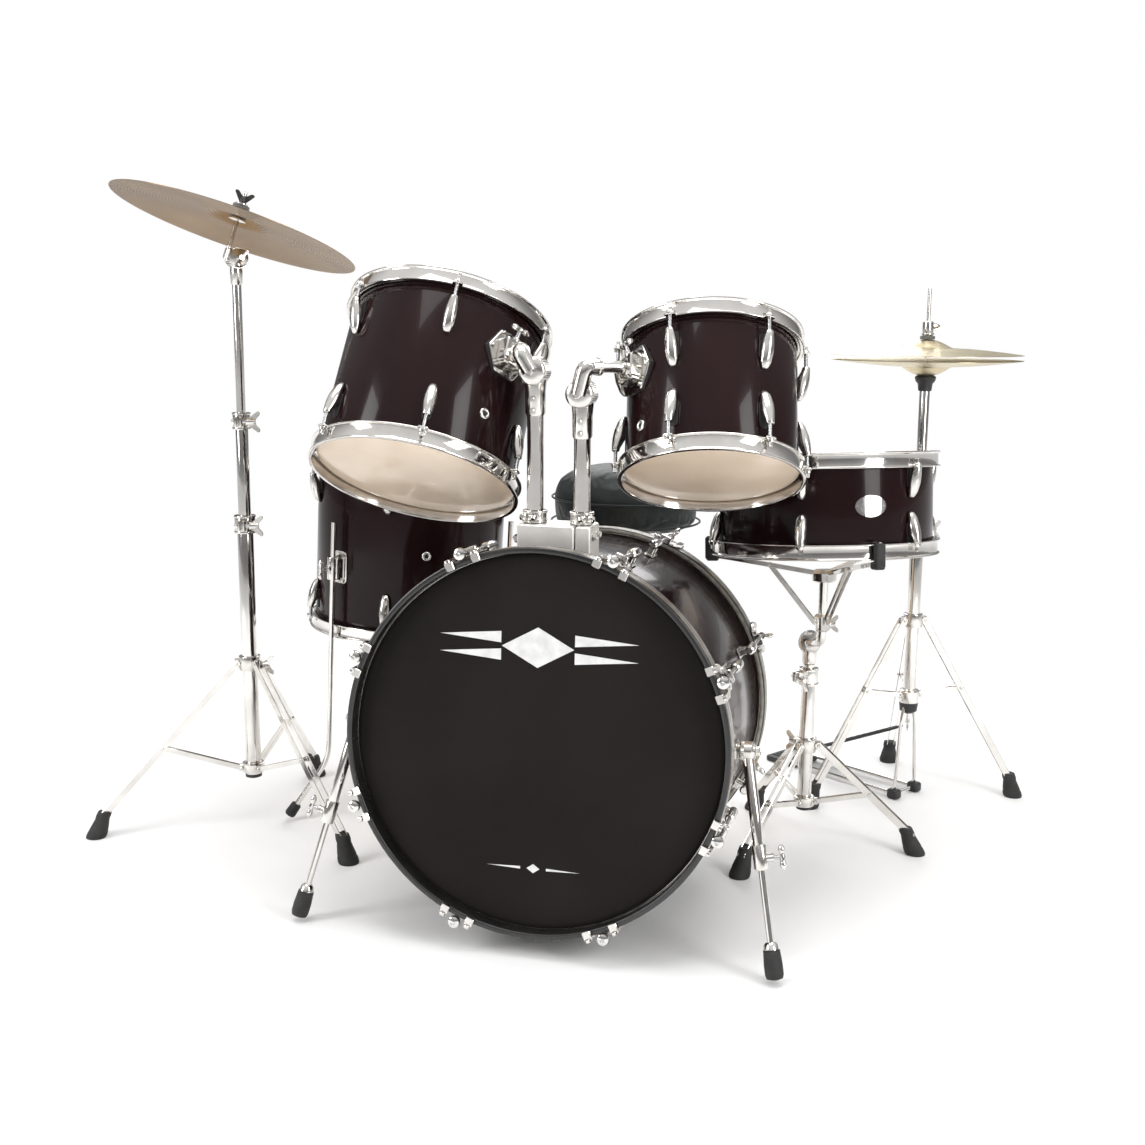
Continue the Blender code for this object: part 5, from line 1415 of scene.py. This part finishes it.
def camera():
    right = Vector((0.96845, 0.24909, 0.00716))
    up = Vector((-0.05131, 0.17120, 0.98390))
    back = Vector((0.24385, -0.95323, 0.17858))
    data = bpy.data.cameras.new("camera")
    data.lens = 43.83
    data.sensor_width = 36.0
    data.clip_end = 60.0
    eye = bpy.data.objects.new("camera", data)
    bpy.context.scene.collection.objects.link(eye)
    rotation = Matrix((right, up, back)).transposed().to_4x4()
    eye.matrix_world = Matrix.Translation((0.6216, -2.4972, 0.9366)) @ rotation
    bpy.context.scene.camera = eye


def softbox(name, place, target, width, height, power):
    data = bpy.data.lights.new(name, "AREA")
    data.shape = "RECTANGLE"
    data.size, data.size_y = width, height
    data.energy = power
    lamp = bpy.data.objects.new(name, data)
    bpy.context.scene.collection.objects.link(lamp)
    aim = Vector(target) - Vector(place)
    lamp.matrix_world = frame_matrix(place, -aim, UP.cross(-aim))


def add_node(tree, kind, **inputs):
    """A shader node with some of its inputs set."""
    node = tree.nodes.new("ShaderNode" + kind)
    for name, value in inputs.items():
        node.inputs[name.replace("_", " ")].default_value = value
    return node


def world():
    """White to the eye; to reflections, a bright ceiling over a dimmer horizon."""
    scene_world = bpy.data.worlds.new("studio")
    bpy.context.scene.world = scene_world
    scene_world.use_nodes = True
    tree = scene_world.node_tree
    tree.nodes.clear()
    where = add_node(tree, "TexCoord")
    split = add_node(tree, "SeparateXYZ")
    ramp = add_node(tree, "ValToRGB")
    elements = ramp.color_ramp.elements
    while len(elements) < len(SKY_TONES):
        elements.new(0.5)
    for element, (position, tone) in zip(elements, SKY_TONES):
        element.position = position
        element.color = (tone, tone, tone, 1.0)
    shift = add_node(tree, "MapRange", From_Min=-1.0)
    light = add_node(tree, "Background", Strength=0.9)
    white = add_node(tree, "Background", Color=(1.0, 1.0, 1.0, 1.0), Strength=1.0)
    path = add_node(tree, "LightPath")
    mix = add_node(tree, "MixShader")
    output = add_node(tree, "OutputWorld")
    for source, target in ((where.outputs["Generated"], split.inputs["Vector"]),
                           (split.outputs["Z"], shift.inputs["Value"]),
                           (shift.outputs["Result"], ramp.inputs["Fac"]),
                           (ramp.outputs["Color"], light.inputs["Color"]),
                           (path.outputs["Is Camera Ray"], mix.inputs["Fac"]),
                           (light.outputs["Background"], mix.inputs[1]),
                           (white.outputs["Background"], mix.inputs[2]),
                           (mix.outputs["Shader"], output.inputs["Surface"])):
        tree.links.new(source, target)


def pale_ground():
    ground = plain("pale_floor", (0.86, 0.86, 0.86), 0.7)
    tint(ground, pattern(ground, "noise", 0.8), (0.85, 0.85, 0.85), (0.88, 0.88, 0.88))
    tree = ground.node_tree
    where = add_node(tree, "TexCoord")
    far = add_node(tree, "VectorMath")
    far.operation = "LENGTH"
    fade = add_node(tree, "MapRange", From_Min=0.5, From_Max=2.2)
    fade.interpolation_type = "SMOOTHSTEP"
    glow = add_node(tree, "Emission")
    path = add_node(tree, "LightPath")
    seen = add_node(tree, "Math")
    seen.operation = "MULTIPLY"
    mix = add_node(tree, "MixShader")
    for source, target in ((where.outputs["Object"], far.inputs[0]),
                           (far.outputs["Value"], fade.inputs["Value"]),
                           (fade.outputs["Result"], seen.inputs[0]),
                           (path.outputs["Is Camera Ray"], seen.inputs[1]),
                           (seen.outputs["Value"], mix.inputs["Fac"]),
                           (tree.nodes["Principled BSDF"].outputs["BSDF"], mix.inputs[1]),
                           (glow.outputs["Emission"], mix.inputs[2]),
                           (mix.outputs["Shader"], tree.nodes["Material Output"].inputs["Surface"])):
        tree.links.new(source, target)
    return ground


def floor():
    shape = Shape()
    ground = pale_ground()
    shape.slab(regular(64, 30.0), 0.02, ground, move(z=-0.0202))
    mesh = bpy.data.meshes.new("floor")
    shape.mesh.to_mesh(mesh)
    shape.mesh.free()
    mesh.materials.append(ground)
    item = bpy.data.objects.new("floor", mesh)
    bpy.context.scene.collection.objects.link(item)


def studio():
    camera()
    world()
    floor()
    softbox("softbox_left", (-2.6, -2.4, 1.9), (0.0, 0.0, 0.6), 1.0, 2.2, 60.0)
    softbox("softbox_right", (2.8, -1.8, 1.7), (0.0, 0.0, 0.5), 0.9, 2.0, 50.0)
    softbox("softbox_top", (0.2, -0.4, 3.4), (0.0, 0.0, 0.0), 2.6, 2.0, 70.0)
    softbox("softbox_back", (-0.5, 3.2, 2.2), (0.0, 0.0, 0.6), 2.2, 1.6, 40.0)
    bpy.context.scene.view_settings.view_transform = "Standard"


# ---------------------------------------------------------------- build

bass = bass_drum()
mount_block(bass)
left_tom, right_tom = drum_pieces("left_tom", "left_tom"), drum_pieces("right_tom", "right_tom")
for tom_side, tom in (("left", left_tom), ("right", right_tom)):
    tom_post(tom_side)
    tom_arm(tom_side, tom)
    tom_bracket(tom_side, tom)
    spur(tom_side, bass)
floor_tom_legs(drum_pieces("floor_tom", "kit"))
snare = drum_pieces("snare", "snare")
snare_badge(snare)
snare_strainer(snare)
throw_lever()
crash_stand()
hihat_stand()
snare_stand(snare)
throne()
bass_pedal()
studio()
